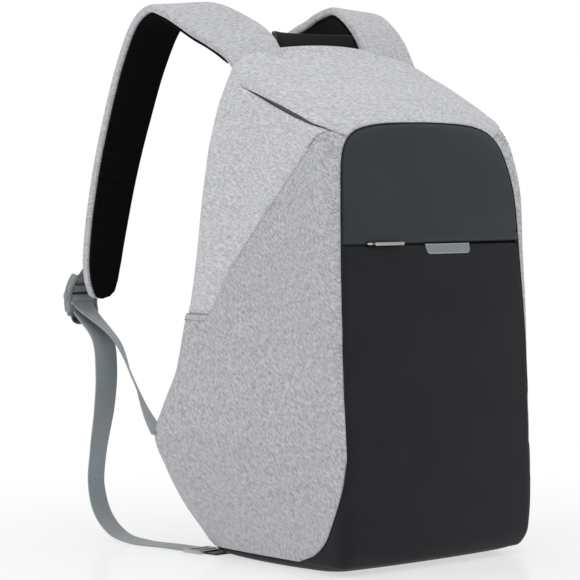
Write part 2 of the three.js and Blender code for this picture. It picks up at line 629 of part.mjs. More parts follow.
// Ladder lock's own frame: along runs down its rails and lift stands off behind them
const lockTop = routePoint({ out: LOCK_OUT, ...LOCK_TOP });
const lockLean = THREE.MathUtils.degToRad(LOCK_LEAN);
const lockAlong = new THREE.Vector3(0, Math.sin(lockLean), -Math.cos(lockLean));
const lockFace = new THREE.Vector3(0, Math.cos(lockLean), Math.sin(lockLean));
const onLock = (along, lift) => lockTop.clone()
  .addScaledVector(lockAlong, along)
  .addScaledVector(lockFace, lift);
const windowHalf = WEBBING_WIDTH / 2 + 1;
const bulgeAt = (share) => LOCK_BULGE * 4 * share * (1 - share);

function ladderLock() {
  const half = LOCK_THICKNESS / 2;
  const outline = new THREE.Shape();
  outline.moveTo(0, -half);
  outline.quadraticCurveTo(LOCK_LENGTH / 2, 2 * LOCK_BULGE - half, LOCK_LENGTH, -half);
  outline.lineTo(LOCK_LENGTH, half / 2);
  outline.quadraticCurveTo(LOCK_LENGTH / 2, 2 * LOCK_BULGE + 2 * half, 0, half / 2);
  const rail = extrude(outline, LOCK_RAIL).applyMatrix4(SIDEWAYS);
  const near = solid(rail.clone().translate(-windowHalf - LOCK_RAIL, 0, 0));
  let frame = near.add(solid(rail.translate(windowHalf, 0, 0)));
  const barHalf = LOCK_BAR / 2;
  for (const share of [TAB_BAR, WEBBING_BAR, LOW_BAR]) {
    const along = share * LOCK_LENGTH;
    const lift = bulgeAt(share) + half / 2;
    frame = frame.add(block(-windowHalf - 1, windowHalf + 1, along - barHalf, along + barHalf,
      lift - barHalf, lift + barHalf));
  }
  const thumb = new THREE.Shape();
  const thumbHalf = 0.8 * windowHalf;
  thumb.moveTo(-thumbHalf, 0);
  thumb.quadraticCurveTo(-thumbHalf, THUMB_LENGTH, 0, THUMB_LENGTH);
  thumb.quadraticCurveTo(thumbHalf, THUMB_LENGTH, thumbHalf, 0);
  const plate = extrude(thumb, THUMB_THICKNESS).translate(0, LOW_BAR * LOCK_LENGTH, bulgeAt(LOW_BAR));
  const turn = new THREE.Matrix4().makeBasis(ACROSS_X, lockAlong, lockFace);
  return shape(frame.add(solid(plate))).applyMatrix4(turn.setPosition(lockTop));
}

// Short webbing that lies along the strap's outer face and runs down to the lock's upper bar
function strapTab() {
  const low = routePoint(STRAP_ROUTE.at(TAB_ROW));
  const high = routePoint(STRAP_ROUTE.at(TAB_ROW - 1)).lerp(low, TAB_START);
  const off = STRAP_THICKNESS / 2 + WEBBING_THICKNESS / 2 + GAP;
  const outward = ACROSS_X.clone().cross(low.clone().sub(high)).setLength(off);
  const bar = TAB_BAR * LOCK_LENGTH - LOCK_BAR / 2 - GAP - WEBBING_THICKNESS;
  const points = [high.add(outward), low.add(outward), onLock(bar, bulgeAt(TAB_BAR))];
  const tab = strip(points.map((at) => ({ at, width: WEBBING_WIDTH, turn: 0 })), WEBBING_THICKNESS, ACROSS_X);
  const strap = strapLayer(0, STRAP_THICKNESS + 2 * GAP, -GAP, LEFT_STRAP);
  return shape(largest(solid(tab).subtract(strap)));
}

// Webbing through stations from a point on the front of the lock's webbing bar
function webbing(below, rows) {
  const clear = LOCK_BAR / 2 + GAP + WEBBING_THICKNESS;
  const first = onLock(WEBBING_BAR * LOCK_LENGTH + below, bulgeAt(WEBBING_BAR) - clear);
  const stations = rows.map((row) => ({
    at: routePoint(row, WEBBING_THICKNESS / 2),
    width: WEBBING_WIDTH,
    turn: row.turn,
  }));
  stations.unshift({ at: first, width: WEBBING_WIDTH, turn: 0 });
  return stations;
}
function fixedWebbing() {
  const stations = webbing(-WEBBING_THICKNESS, FIXED_ROUTE);
  return shape(solid(strip(stations, WEBBING_THICKNESS, ACROSS_X)).subtract(grown));
}
function tailWebbing() {
  const stations = webbing(2 * WEBBING_THICKNESS, TAIL_ROUTE);
  const last = stations.at(-1).at.clone().setY(floorSliderRear + GAP);
  stations.push({ at: last, width: WEBBING_WIDTH, turn: 0 });
  return strip(stations, WEBBING_THICKNESS, ACROSS_X);
}

// Floor slider: a flat frame with a middle bar, and the black loop that ties it to the base
const floorSliderRear = depthAt('back', 0) + LOOP_SEAT + LOOP_LENGTH + GAP + SLIDER_FRAME_LENGTH;
function floorSlider() {
  const half = WEBBING_WIDTH / 2 + SLIDER_FRAME_BAR;
  const rear = floorSliderRear;
  const front = rear - SLIDER_FRAME_LENGTH;
  const centre = -TAIL_ROUTE.at(-1).out * HALF_WIDTH;
  const height = 2 * WEBBING_THICKNESS;
  const hole = (SLIDER_FRAME_LENGTH - 3 * SLIDER_FRAME_BAR) / 2;
  let frame = block(centre - half, centre + half, front, rear, 0, height);
  for (const start of [front + SLIDER_FRAME_BAR, rear - SLIDER_FRAME_BAR - hole]) {
    const inner = half - SLIDER_FRAME_BAR;
    frame = frame.subtract(block(centre - inner, centre + inner, start, start + hole, -FAR, FAR));
  }
  return shape(frame);
}
function sliderLoop() {
  const front = floorSliderRear - SLIDER_FRAME_LENGTH - GAP;
  const centre = -TAIL_ROUTE.at(-1).out * HALF_WIDTH;
  const half = LOOP_WIDTH / 2;
  return block(centre - half, centre + half, front - LOOP_LENGTH, front, 0, WEBBING_THICKNESS).subtract(grown);
}

// Materials
const GREY_CLOTH = { color: 0xb9babc, roughness: 0.95, metalness: 0 };
const DARK_CLOTH = { color: 0x2f3234, roughness: 0.6, metalness: 0 };
const BLACK_MESH = { color: 0x0f1011, roughness: 0.95, metalness: 0 };
const WEBBING = { color: 0x7f878c, roughness: 0.55, metalness: 0 };
const PLASTIC = { color: 0x8f9496, roughness: 0.4, metalness: 0 };
const METAL = { color: 0xb4b6b4, roughness: 0.3, metalness: 1 };
const TAG = { color: 0x878e8f, roughness: 0.45, metalness: 0 };

const group = new THREE.Group();
function addPiece(name, geometry, look, parent = group) {
  const mesh = new THREE.Mesh(geometry, new THREE.MeshStandardMaterial(look));
  mesh.name = name;
  parent.add(mesh);
  return mesh;
}
function addPair(name, geometry, look, right = geometry) {
  addPiece(`${name}_left`, geometry, look);
  addPiece(`${name}_right`, mirrored(right), look);
}

addPiece('base', shape(base), DARK_CLOTH);
addPiece('front_panel_lower', shape(largest(lowerFront)), DARK_CLOTH);
addPiece('front_panel_upper', shape(upperFront), DARK_CLOTH);
addPiece('back_panel', shape(backPanel), BLACK_MESH);
addPiece('hood', shape(hood), GREY_CLOTH);
addPair('side_gusset', shape(largest(gusset)), GREY_CLOTH);
addPair('side_panel', shape(largest(sidePanel)), GREY_CLOTH);
addPair('slit_facing', shape(slitFacing()), DARK_CLOTH);
addPiece('zip_tape', shape(zipTape), DARK_CLOTH);

const zipGroup = new THREE.Group();
zipGroup.position.set(SLIDER_PLACE, seat.y, ZIP_HEIGHT);
zipGroup.rotation.z = zipAngle;
group.add(zipGroup);
addPiece('zip_slider', shape(zipSlider()), METAL, zipGroup);
addPiece('zip_pull', shape(zipPull()), METAL, zipGroup).position.set(0, -pivotOut, 0);
addPiece('front_tag', shape(frontTag()), TAG);

addPiece('carry_handle', shape(carryHandle()), DARK_CLOTH);
const liningOffset = STRAP_THICKNESS / 2 + LAYER_GAP + LINING_THICKNESS / 2;
const strapCover = (side) => shape(strapLayer(0, STRAP_THICKNESS, 0, side));
const strapLining = (side) => shape(strapLayer(liningOffset, LINING_THICKNESS, LINING_MARGIN, side));
addPair('shoulder_strap', strapCover(LEFT_STRAP), GREY_CLOTH, strapCover(RIGHT_STRAP));
addPair('strap_lining', strapLining(LEFT_STRAP), BLACK_MESH, strapLining(RIGHT_STRAP));
addPair('strap_tab', strapTab(), WEBBING);
addPair('ladder_lock', ladderLock(), PLASTIC);
addPair('fixed_webbing', fixedWebbing(), WEBBING);
addPair('tail_webbing', tailWebbing(), WEBBING);
addPair('floor_slider', floorSlider(), METAL);
addPair('slider_loop', shape(sliderLoop()), DARK_CLOTH);

export default group;
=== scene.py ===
# %% [markdown]
# # An anti theft backpack
# The bag stands on a pale floor. Its shell is taut grey melange cloth over board, with a dark coated
# front, hidden zips on the sides and a slack webbing tail on each strap.
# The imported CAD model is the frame: every piece below sits where one of its nodes is. Lengths are worked
# out in millimetres, as a pattern cutter would, and turned into Blender's metres at the end.

# %% Frame and units
import math

import bmesh
import bpy
import numpy as np
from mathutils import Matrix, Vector
from mathutils.bvhtree import BVHTree
from mathutils.kdtree import KDTree


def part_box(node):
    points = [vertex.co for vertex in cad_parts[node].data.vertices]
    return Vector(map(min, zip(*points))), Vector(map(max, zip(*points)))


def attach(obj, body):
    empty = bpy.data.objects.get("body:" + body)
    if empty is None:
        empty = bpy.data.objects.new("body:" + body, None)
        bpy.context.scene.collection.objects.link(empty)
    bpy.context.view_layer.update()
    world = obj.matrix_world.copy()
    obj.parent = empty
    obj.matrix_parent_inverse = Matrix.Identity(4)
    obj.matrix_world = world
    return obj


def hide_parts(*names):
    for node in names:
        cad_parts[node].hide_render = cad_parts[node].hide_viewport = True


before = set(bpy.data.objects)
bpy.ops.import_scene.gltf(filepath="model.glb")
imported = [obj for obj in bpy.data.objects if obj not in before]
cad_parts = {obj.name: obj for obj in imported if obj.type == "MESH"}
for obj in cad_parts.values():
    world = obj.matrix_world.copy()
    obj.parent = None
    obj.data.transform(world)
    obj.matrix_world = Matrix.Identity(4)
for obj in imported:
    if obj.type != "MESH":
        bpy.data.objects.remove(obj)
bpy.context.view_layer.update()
MM = 0.001
BODY = "bag"
SIDES = (("left", -1), ("right", 1))
print("nodes in the frame:", len(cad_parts))

# %% [markdown]
# ## Camera
# The photograph looks 45 degrees round from the front and slightly down, through a long lens. A long lens
# keeps the bag's upright edges almost parallel. The lens is worked out from the frame's width of 580 pixels
# and a focal length of 2710 pixels.

# %% Camera
PHOTO_WIDTH = 580
FOCAL_PIXELS = 2710
camera_data = bpy.data.cameras.new("camera")
camera_data.sensor_width = 36
camera_data.lens = FOCAL_PIXELS / PHOTO_WIDTH * camera_data.sensor_width
camera = bpy.data.objects.new("camera", camera_data)
camera.location = Vector((-1717.94, -1642.14, 328.0)) * MM
camera.rotation_euler = (math.radians(90 - 2.324), 0, math.radians(-45))
bpy.context.scene.collection.objects.link(camera)
bpy.context.scene.camera = camera
print("lens", round(camera_data.lens, 1), "mm")

# %% [markdown]
# ## Node helper and colours
# One helper adds a shader node, sets its options and joins or fills its inputs. Colours are written as the
# sRGB values that one reads off a sample card, and a second helper turns them into the linear values that
# shaders work in.

# %% Material helpers
def linear(hex_colour):
    """sRGB hex to the linear RGBA that a shader wants."""
    parts = [int(hex_colour[i:i + 2], 16) / 255 for i in (0, 2, 4)]
    steps = [c / 12.92 if c <= 0.04045 else ((c + 0.055) / 1.055) ** 2.4 for c in parts]
    return (*steps, 1.0)


def add(tree, kind, inputs=None, **settings):
    """Adds a shader node. A socket in inputs is linked, anything else becomes the input's value."""
    made = tree.nodes.new("ShaderNode" + kind)
    for name, value in settings.items():
        setattr(made, name, value)
    for name, value in (inputs or {}).items():
        socket = made.inputs[name]
        if isinstance(value, bpy.types.NodeSocket):
            tree.links.new(value, socket)
        else:
            socket.default_value = value
    return made


def new_material(name, **values):
    """A material whose Principled shader has the given uniform values."""
    material = bpy.data.materials.new(name)
    material.use_nodes = True
    shader = material.node_tree.nodes["Principled BSDF"]
    for socket, value in values.items():
        shader.inputs[socket.replace("_", " ")].default_value = value
    return material, material.node_tree, shader


def ramp(tree, factor, stops):
    """A colour ramp: stops are pairs of position and hex colour."""
    made = add(tree, "ValToRGB", {"Fac": factor})
    elements = made.color_ramp.elements
    while len(elements) < len(stops):
        elements.new(0.5)
    for element, (position, colour) in zip(elements, stops):
        element.position = position
        element.color = linear(colour)
    return made.outputs["Color"]


def stretched(tree, scale, source=None):
    """Coordinates in metres, scaled along each axis, so that a pattern can run long one way."""
    if source is None:
        source = add(tree, "TexCoord").outputs["Object"]
    return add(tree, "Mapping", {"Vector": source, "Scale": scale}).outputs["Vector"]


def per_mm(size):
    """Texture scale, in turns or cells a metre, for a feature of a size in millimetres."""
    return 1 / (size * MM)


# %% [markdown]
# ## Grey melange cloth
# The shell is polyester canvas woven from mixed light and dark yarns. Seen from two metres its threads melt
# into short pale and dark dashes, longer along the weft than up the warp. Two noises make those dashes, one
# stretched along the weft and one along the warp. Real threads are 0.4 mm apart, too fine to show here, so
# the dashes are drawn about 1 mm thick. Each panel is cut with its own lie, so the pattern is turned by an
# angle about the bag's width: level on the hood, along the slit beside it, and steep on the lower side.

# %% Melange cloth
def melange_cloth(name, pale, mid, dark, lie=0):
    material, tree, shader = new_material(name, Roughness=0.92, Sheen_Weight=0.12, Sheen_Roughness=0.6,
                                          Specular_IOR_Level=0.2)
    turned = add(tree, "Mapping", {"Vector": add(tree, "TexCoord").outputs["Object"],
                                   "Rotation": (math.radians(-lie), 0, 0)}).outputs["Vector"]
    weft_place = stretched(tree, (per_mm(4), per_mm(4), per_mm(1.1)), turned)
    warp_place = stretched(tree, (per_mm(1.2), per_mm(1.2), per_mm(3.2)), turned)
    weft = add(tree, "TexNoise", {"Vector": weft_place, "Scale": 1.0, "Detail": 2.0, "Roughness": 0.6})
    warp = add(tree, "TexNoise", {"Vector": warp_place, "Scale": 1.0, "Detail": 2.0, "Roughness": 0.6})
    threads = add(tree, "Mix", {"Factor": 0.3, "A": weft.outputs["Fac"], "B": warp.outputs["Fac"]})
    colour = ramp(tree, threads.outputs["Result"], [(0.36, dark), (0.5, mid), (0.64, pale)])
    tree.links.new(colour, shader.inputs["Base Color"])
    bump = add(tree, "Bump", {"Height": threads.outputs["Result"], "Strength": 0.4, "Distance": 0.4 * MM})
    tree.links.new(bump.outputs["Normal"], shader.inputs["Normal"])
    return material


HOOD_CLOTH = melange_cloth("melange_canvas_hood", "d3d4d7", "bfc0c3", "a6a7ab")
GUSSET_CLOTH = melange_cloth("melange_canvas_gusset", "d6d7da", "c1c2c5", "a7a8ac", lie=25)
# The lower side cloth is the same canvas drawn darker than the hood and gusset: painted shade on the lower
# sides.
SHADED_SIDE_CLOTH = melange_cloth("melange_canvas_side_painted_shade", "c6c7cb", "afb0b4", "919297", lie=50)
STRAP_CLOTH = melange_cloth("melange_strap_cloth", "cbccd0", "b7b8bc", "9fa0a4", lie=-20)

# %% [markdown]
# ## Dark coated cloth
# The front is a tight charcoal polyester with a polyurethane coating. The coating fills the weave, so it is
# smooth, gives a broad soft gloss and shows only a faint grain.

# %% Coated cloth
def coated_cloth(name, tone, lighter, roughness, gloss=0.25):
    material, tree, shader = new_material(name, Roughness=roughness, Specular_IOR_Level=gloss)
    place = add(tree, "TexCoord").outputs["Object"]
    grain = add(tree, "TexNoise", {"Vector": place, "Scale": per_mm(0.9), "Detail": 2.0})
    cloud = add(tree, "TexNoise", {"Vector": place, "Scale": per_mm(45), "Detail": 3.0})
    mixed = add(tree, "Mix", {"Factor": 0.5, "A": grain.outputs["Fac"], "B": cloud.outputs["Fac"]})
    colour = ramp(tree, mixed.outputs["Result"], [(0.3, tone), (0.7, lighter)])
    tree.links.new(colour, shader.inputs["Base Color"])
    bump = add(tree, "Bump", {"Height": grain.outputs["Fac"], "Strength": 0.25, "Distance": 0.25 * MM})
    tree.links.new(bump.outputs["Normal"], shader.inputs["Normal"])
    return material


FLAP_CLOTH = coated_cloth("charcoal_coated_polyester", "272d30", "2e3437", 0.5)
# The apron is the same coated cloth drawn darker than the flap: painted shade for the upright lower panel under
# the top light.
SHADED_APRON_CLOTH = coated_cloth("charcoal_coated_apron_painted_shade", "1a1b1e", "202125", 0.55, gloss=0.15)
HANDLE_CLOTH = coated_cloth("black_satin_nylon", "141513", "1b1c1a", 0.4, gloss=0.2)
BASE_CLOTH = coated_cloth("black_coated_base_cloth", "141516", "1a1b1c", 0.6)
LINING_CLOTH = coated_cloth("black_taffeta", "0b0b0c", "121213", 0.75)
SLIT_CLOTH = coated_cloth("grey_twill_facing", "5c5d60", "6a6b6e", 0.8)

# %% [markdown]
# ## Black spacer mesh
# The straps' inner face and the back are knitted spacer mesh: a black net of small round eyes over a dark
# foam. Cells 2.6 mm apart make the eyes, sunk by a bump. The back's mesh is a little paler than the straps'.

# %% Spacer mesh
def spacer_mesh(name, eye, net):
    material, tree, shader = new_material(name, Roughness=0.95, Specular_IOR_Level=0.08)
    place = add(tree, "TexCoord").outputs["Object"]
    cells = add(tree, "TexVoronoi", {"Vector": place, "Scale": per_mm(2.6), "Randomness": 0.25})
    colour = ramp(tree, cells.outputs["Distance"], [(0.18, eye), (0.42, net)])
    tree.links.new(colour, shader.inputs["Base Color"])
    bump = add(tree, "Bump", {"Height": cells.outputs["Distance"], "Strength": 0.6, "Distance": 0.8 * MM})
    tree.links.new(bump.outputs["Normal"], shader.inputs["Normal"])
    return material


STRAP_MESH = spacer_mesh("black_spacer_mesh", "020202", "0d0d0e")
BACK_MESH = spacer_mesh("black_back_mesh", "060607", "2b2b2e")

# %% [markdown]
# ## Webbing
# Polypropylene webbing is woven with ribs across its width and two firm edges. Its smooth yarns give a satin
# sheen. The pattern has to bend with each band, so it reads the "route" that the bands store: millimetres
# across, and millimetres along. The short tab at the end of a strap, its wrap and its sewn end are drawn in a
# darker copy of the same webbing: painted shade for the tab's shaded underside.

# %% Webbing
def woven_band(name, pale, dark, roughness):
    material, tree, shader = new_material(name, Roughness=roughness, Sheen_Weight=0.3, Sheen_Roughness=0.35)
    route = add(tree, "Attribute", attribute_name="route").outputs["Vector"]
    ribs = add(tree, "TexWave", {"Vector": route, "Scale": 0.22, "Distortion": 0.6, "Detail": 1.0},
               bands_direction="Y", wave_profile="SIN")
    lines = add(tree, "TexWave", {"Vector": route, "Scale": 0.3, "Distortion": 0.3},
                bands_direction="X", wave_profile="SIN")
    weave = add(tree, "Mix", {"Factor": 0.35, "A": ribs.outputs["Fac"], "B": lines.outputs["Fac"]})
    colour = ramp(tree, weave.outputs["Result"], [(0.15, dark), (0.85, pale)])
    tree.links.new(colour, shader.inputs["Base Color"])
    bump = add(tree, "Bump", {"Height": weave.outputs["Result"], "Strength": 0.5, "Distance": 0.35 * MM})
    tree.links.new(bump.outputs["Normal"], shader.inputs["Normal"])
    return material


WEBBING = woven_band("grey_polypropylene_webbing", "a5adb2", "838b90", 0.42)
SHADED_TAB_WEBBING = woven_band("grey_webbing_painted_shade", "848a8d", "666b6e", 0.5)
BLACK_WEBBING = woven_band("black_loop_webbing", "1c1c1d", "101011", 0.6)

# %% [markdown]
# ## Hard trim
# The ladder locks are injection moulded acetal, smooth and glossy with a faint mould texture. The zip slider
# and the floor slider are die-cast zinc with a satin nickel finish. The tag is soft moulded rubber.

# %% Trim materials
def moulded(name, tone, roughness, grain_mm, depth_mm, **values):
    material, tree, shader = new_material(name, Base_Color=linear(tone), Roughness=roughness, **values)
    place = add(tree, "TexCoord").outputs["Object"]
    grain = add(tree, "TexNoise", {"Vector": place, "Scale": per_mm(grain_mm), "Detail": 3.0})
    low = add(tree, "MapRange", {"Value": grain.outputs["Fac"], "To Min": roughness - 0.08,
                                 "To Max": roughness + 0.08})
    tree.links.new(low.outputs["Result"], shader.inputs["Roughness"])
    bump = add(tree, "Bump", {"Height": grain.outputs["Fac"], "Strength": 0.2, "Distance": depth_mm * MM})
    tree.links.new(bump.outputs["Normal"], shader.inputs["Normal"])
    return material


LOCK_PLASTIC = moulded("grey_acetal", "858a8c", 0.28, 1.2, 0.1, IOR=1.48)
THUMB_PLASTIC = moulded("black_acetal", "1d1e1f", 0.16, 1.2, 0.1, IOR=1.48)
NICKEL = moulded("satin_nickel_zinc", "b9bab8", 0.3, 0.8, 0.05, Metallic=1.0)
TAG_RUBBER = moulded("grey_moulded_rubber", "7b8485", 0.55, 0.7, 0.08, Specular_IOR_Level=0.4)
TAG_EDGE = moulded("pale_moulded_rubber", "8f9798", 0.5, 0.7, 0.08, Specular_IOR_Level=0.4)
GREY_THREAD = moulded("grey_polyester_thread", "76777a", 0.7, 0.5, 0.05)

# %% [markdown]
# ## Body form
# The shell is a wedge: deep at the bottom, leaning in at the back, with a roof that slopes up from the front
# to a narrow crest. Like a boat, it is described by level sections. Each row gives one section as shares of
# the height, depth and half width, and values between rows are eased so that nothing bulges.

# %% Sections
HEIGHT = 446.0
DEPTH = 200.0
HALF = 150.0
COLUMNS = ("at", "front", "corner", "bend", "side", "rear", "back", "tuck")
SECTIONS = np.array([
    (0, -0.39, 0.65, -0.36, 0.63, 0.54, 0.34, 0),
    (0.006, -0.47, 0.71, -0.44, 0.67, 0.58, 0.39, 0),
    (0.02, -0.5375, 0.77, -0.5075, 0.7, 0.61, 0.43, 0),
    (0.05, -0.56, 0.793, -0.535, 0.73, 0.665, 0.46, 0),
    (0.105, -0.565, 0.807, -0.5375, 0.785, 0.79, 0.48, 0.01),
    (0.175, -0.563, 0.81, -0.535, 0.85, 0.92, 0.487, 0.16),
    (0.242, -0.56, 0.81, -0.5325, 0.9, 1.005, 0.492, 0.23),
    (0.3, -0.553, 0.813, -0.525, 0.885, 0.965, 0.467, 0.19),
    (0.375, -0.545, 0.823, -0.512, 0.855, 0.895, 0.435, 0.105),
    (0.475, -0.53, 0.835, -0.497, 0.835, 0.88, 0.39, 0.015),
    (0.5, -0.525, 0.837, -0.4925, 0.832, 0.855, 0.38, 0),
    (0.6, -0.5175, 0.843, -0.4725, 0.827, 0.868, 0.33, 0),
    (0.7, -0.4925, 0.85, -0.4575, 0.827, 0.883, 0.287, 0),
    (0.79, -0.4725, 0.84, -0.4075, 0.827, 0.887, 0.246, 0),
    (0.84, -0.4475, 0.823, -0.3475, 0.823, 0.873, 0.223, 0),
    (0.87, -0.365, 0.813, -0.255, 0.82, 0.863, 0.208, 0),
    (0.91, -0.21, 0.803, -0.1, 0.81, 0.83, 0.19, 0),
    (0.95, -0.035, 0.765, 0.05, 0.768, 0.773, 0.178, 0),
    (0.98, 0.085, 0.64, 0.12, 0.644, 0.65, 0.172, 0),
    (1, 0.13, 0.4, 0.145, 0.402, 0.405, 0.17, 0),
])


def eased(xs, ys, at):
    """Values between rows, eased without overshoot."""
    xs, ys, at = np.asarray(xs, float), np.asarray(ys, float), np.asarray(at, float)
    slopes = np.diff(ys) / np.diff(xs)
    before, after = slopes[:-1], slopes[1:]
    same = before * after > 0
    middle = np.where(same, 2 * before * after / np.where(same, before + after, 1), 0)
    tangents = np.concatenate([slopes[:1], middle, slopes[-1:]])
    index = np.clip(np.searchsorted(xs, at) - 1, 0, len(xs) - 2)
    span = xs[index + 1] - xs[index]
    t = (at - xs[index]) / span
    bend = t * t * (3 - 2 * t)
    rise = tangents[index] * span * t * (1 - t) ** 2
    fall = tangents[index + 1] * span * t * t * (1 - t)
    return ys[index] + (ys[index + 1] - ys[index]) * bend + rise - fall


def column(name, at):
    return eased(SECTIONS[:, 0], SECTIONS[:, COLUMNS.index(name)], at)


# %% [markdown]
# A section is five soft curves from the middle of the front round to the middle of the back: the crowned
# front, the front corner, the bowed side, the rear corner and the back. The other half mirrors it.

# %% Section curve
FRONT_FILLET, REAR_FILLET = 12.0, 14.0
CURVE_STEPS = (58, 10, 74, 10, 46)


def toward(a, b, far):
    """The point at a given distance from a on the way to b."""
    return a + (b - a) / np.linalg.norm(b - a) * far


def section(at, tucked):
    """One level ring of the form, from the middle of the front round the right side and back."""
    tuck = HALF * column("tuck", at) if tucked else 0
    front = np.array((0, DEPTH * column("front", at)))
    corner = np.array((HALF * column("corner", at), DEPTH * column("bend", at)))
    rear = np.array((HALF * column("rear", at) - tuck, DEPTH * column("back", at)))
    back = np.array((0, rear[1]))
    middle = np.array((HALF * column("side", at) - tuck / 2, (corner[1] + rear[1]) / 2))
    length = np.linalg.norm(corner - rear)
    front_cut, rear_cut = min(FRONT_FILLET, 0.4 * length), min(REAR_FILLET, 0.4 * length)
    bow = 2 * middle - (corner + rear) / 2
    crown = np.array((0.5 * corner[0], front[1]))
    curves = (
        (front, crown, toward(corner, crown, front_cut)),
        (toward(corner, crown, front_cut), corner, toward(corner, bow, front_cut)),
        (toward(corner, bow, front_cut), bow, toward(rear, bow, rear_cut)),
        (toward(rear, bow, rear_cut), rear, toward(rear, back, rear_cut)),
        (toward(rear, back, rear_cut), (back + rear) / 2, back),
    )
    half = [front]
    for (a, b, c), steps in zip(curves, CURVE_STEPS):
        t = np.linspace(0, 1, steps + 1)[1:, None]
        half.extend((1 - t) ** 2 * a + 2 * t * (1 - t) * b + t ** 2 * c)
    half = np.array(half)
    left = half[::-1] * (-1, 1)
    return np.vstack([half, left[1:]])


# %% [markdown]
# The form itself starts as one flat grid. Its width is laid round each section and its height up the levels,
# and then the open side is welded. Levels follow the length of the front and roof, so the cells stay small
# where the roof slopes. Last, the crest is arched: it falls a few millimetres away from its middle.

# %% Body form
LEVELS = 236


def body_form(tucked):
    path = np.linspace(0, 1, 2000)
    steps = np.hypot(np.diff(path) * HEIGHT, np.diff(DEPTH * column("front", path)))
    length = np.concatenate([[0], np.cumsum(steps)])
    heights = np.interp(np.linspace(0, length[-1], LEVELS + 1), length, path)
    rings = np.array([section(at, tucked) for at in heights])
    around = rings.shape[1] - 1
    bm = bmesh.new()
    bmesh.ops.create_grid(bm, x_segments=around, y_segments=LEVELS, size=0.5)
    for vert in bm.verts:
        u = round((vert.co.x + 0.5) * around)
        v = round((vert.co.y + 0.5) * LEVELS)
        vert.co = (*rings[v, u], heights[v] * HEIGHT)
    bmesh.ops.remove_doubles(bm, verts=bm.verts, dist=1e-4)
    bmesh.ops.holes_fill(bm, edges=[edge for edge in bm.edges if edge.is_boundary], sides=0)
    bmesh.ops.recalc_face_normals(bm, faces=bm.faces)
    return bm


ARCH_START, ARCH_SPAN, ARCH_DROP, ARCH_HALF = 0.93, 0.07, 3.5, 60.0
form = body_form(tucked=False)
pocketed = body_form(tucked=True)
for bm in (form, pocketed):
    for vert in bm.verts:
        high = max(0, vert.co.z / HEIGHT - ARCH_START) / ARCH_SPAN
        vert.co.z -= ARCH_DROP * high * min(1, abs(vert.co.x) / ARCH_HALF) ** 2
print("form:", len(form.verts), "points")

# %% [markdown]
# ## Seams
# Every panel is cut from the form along a seam. Seen from the front, one outline bounds the dark cloth. Seen
# from the side there is the roof seam with its hidden slit, the long diagonal seam, and the pocket's mouth.
# A smooth line is drawn through the points of the outlines and of the diagonal. The roof seam and the mouth
# are nearly straight, so their points are joined directly.

# %% Seam lines
def smooth_line(points, each=12):
    """Centripetal spline through points, each stretch cut into equal shares."""
    points = np.asarray(points, float)
    ends = np.vstack([2 * points[0] - points[1], points, 2 * points[-1] - points[-2]])
    out = []
    for i in range(1, len(ends) - 2):
        p0, p1, p2, p3 = ends[i - 1:i + 3]
        d0, d1, d2 = (max(np.linalg.norm(b - a) ** 0.5, 1e-6) for a, b in ((p0, p1), (p1, p2), (p2, p3)))
        m1 = ((p1 - p0) / d0 - (p2 - p0) / (d0 + d1) + (p2 - p1) / d1) * d1
        m2 = ((p2 - p1) / d1 - (p3 - p1) / (d1 + d2) + (p3 - p2) / d2) * d1
        t = np.linspace(0, 1, each, endpoint=False)[:, None]
        out.extend(p1 * (2 * t ** 3 - 3 * t ** 2 + 1) + m1 * (t ** 3 - 2 * t ** 2 + t)
                   + p2 * (3 * t ** 2 - 2 * t ** 3) + m2 * (t ** 3 - t ** 2))
    return np.vstack([out, points[-1]])


PANEL_EDGE = np.array([
    (0, 0.844), (0.3, 0.8415), (0.45, 0.836), (0.55, 0.827), (0.615, 0.813), (0.66, 0.793), (0.695, 0.762),
    (0.725, 0.705), (0.742, 0.62), (0.758, 0.5), (0.767, 0.4), (0.767, 0.24), (0.755, 0.13), (0.735, 0.065),
    (0.7, 0.02), (0.63, -0.02),
]) * (HALF, HEIGHT)
LOWER_CORNER = np.array([
    (-0.9, 0.262), (-0.56, 0.26), (-0.537, 0.225), (-0.53, 0.195), (-0.524, 0.165), (-0.505, 0.13),
    (-0.47, 0.095), (-0.425, 0.063), (-0.355, 0.037), (-0.28, 0.023), (-0.18, 0.01),
]) * (DEPTH, HEIGHT)
ROOF_SEAM = np.array([
    (-0.8, 0.72), (-0.46, 0.8), (-0.395, 0.8275), (-0.37, 0.837), (-0.3, 0.8525), (-0.2, 0.8705),
    (-0.07, 0.8915), (0.06, 0.9125), (0.5, 1.005),
]) * (DEPTH, HEIGHT)
SLIT = (-0.395 * DEPTH, 0.06 * DEPTH)
DIAGONAL = np.array([
    (-0.395, 0.8275), (-0.384, 0.822), (-0.3685, 0.806), (-0.337, 0.7915), (-0.249, 0.754),
    (-0.05, 0.657), (0.116, 0.568), (0.24, 0.474),
]) * (DEPTH, HEIGHT)
POCKET_MOUTH = np.array([(0.24, 0.474), (0.26, 0.4745), (0.9, 0.484)]) * (DEPTH, HEIGHT)
BASE_RISE = 6.0
ZIP_HEIGHT = 275.0
ZIP_OPENING = 3.0
BACK_MARGIN, BACK_TOP, BACK_REACH = 15.0, 0.955, 6.0

panel_right = smooth_line(PANEL_EDGE)
panel_outline = np.vstack([panel_right, panel_right[:0:-1] * (-1, 1)])
corner_arc = smooth_line(LOWER_CORNER)
corner_outline = np.vstack([corner_arc, (corner_arc[-1][0], -900), (corner_arc[0][0], -900)])
diagonal_line = smooth_line(DIAGONAL)


def roof_seam(y):
    """Height of the seam under the hood at a depth."""
    return np.interp(y, ROOF_SEAM[:, 0], ROOF_SEAM[:, 1])


def lower_seam(y):
    """Height of the seam between the upper and lower side cloth at a depth."""
    diagonal = np.interp(y, diagonal_line[:, 0], diagonal_line[:, 1])
    mouth = np.interp(y, POCKET_MOUTH[:, 0], POCKET_MOUTH[:, 1])
    low = np.where(y < DIAGONAL[-1, 0], diagonal, mouth)
    return np.where(y < SLIT[0], roof_seam(y), low)


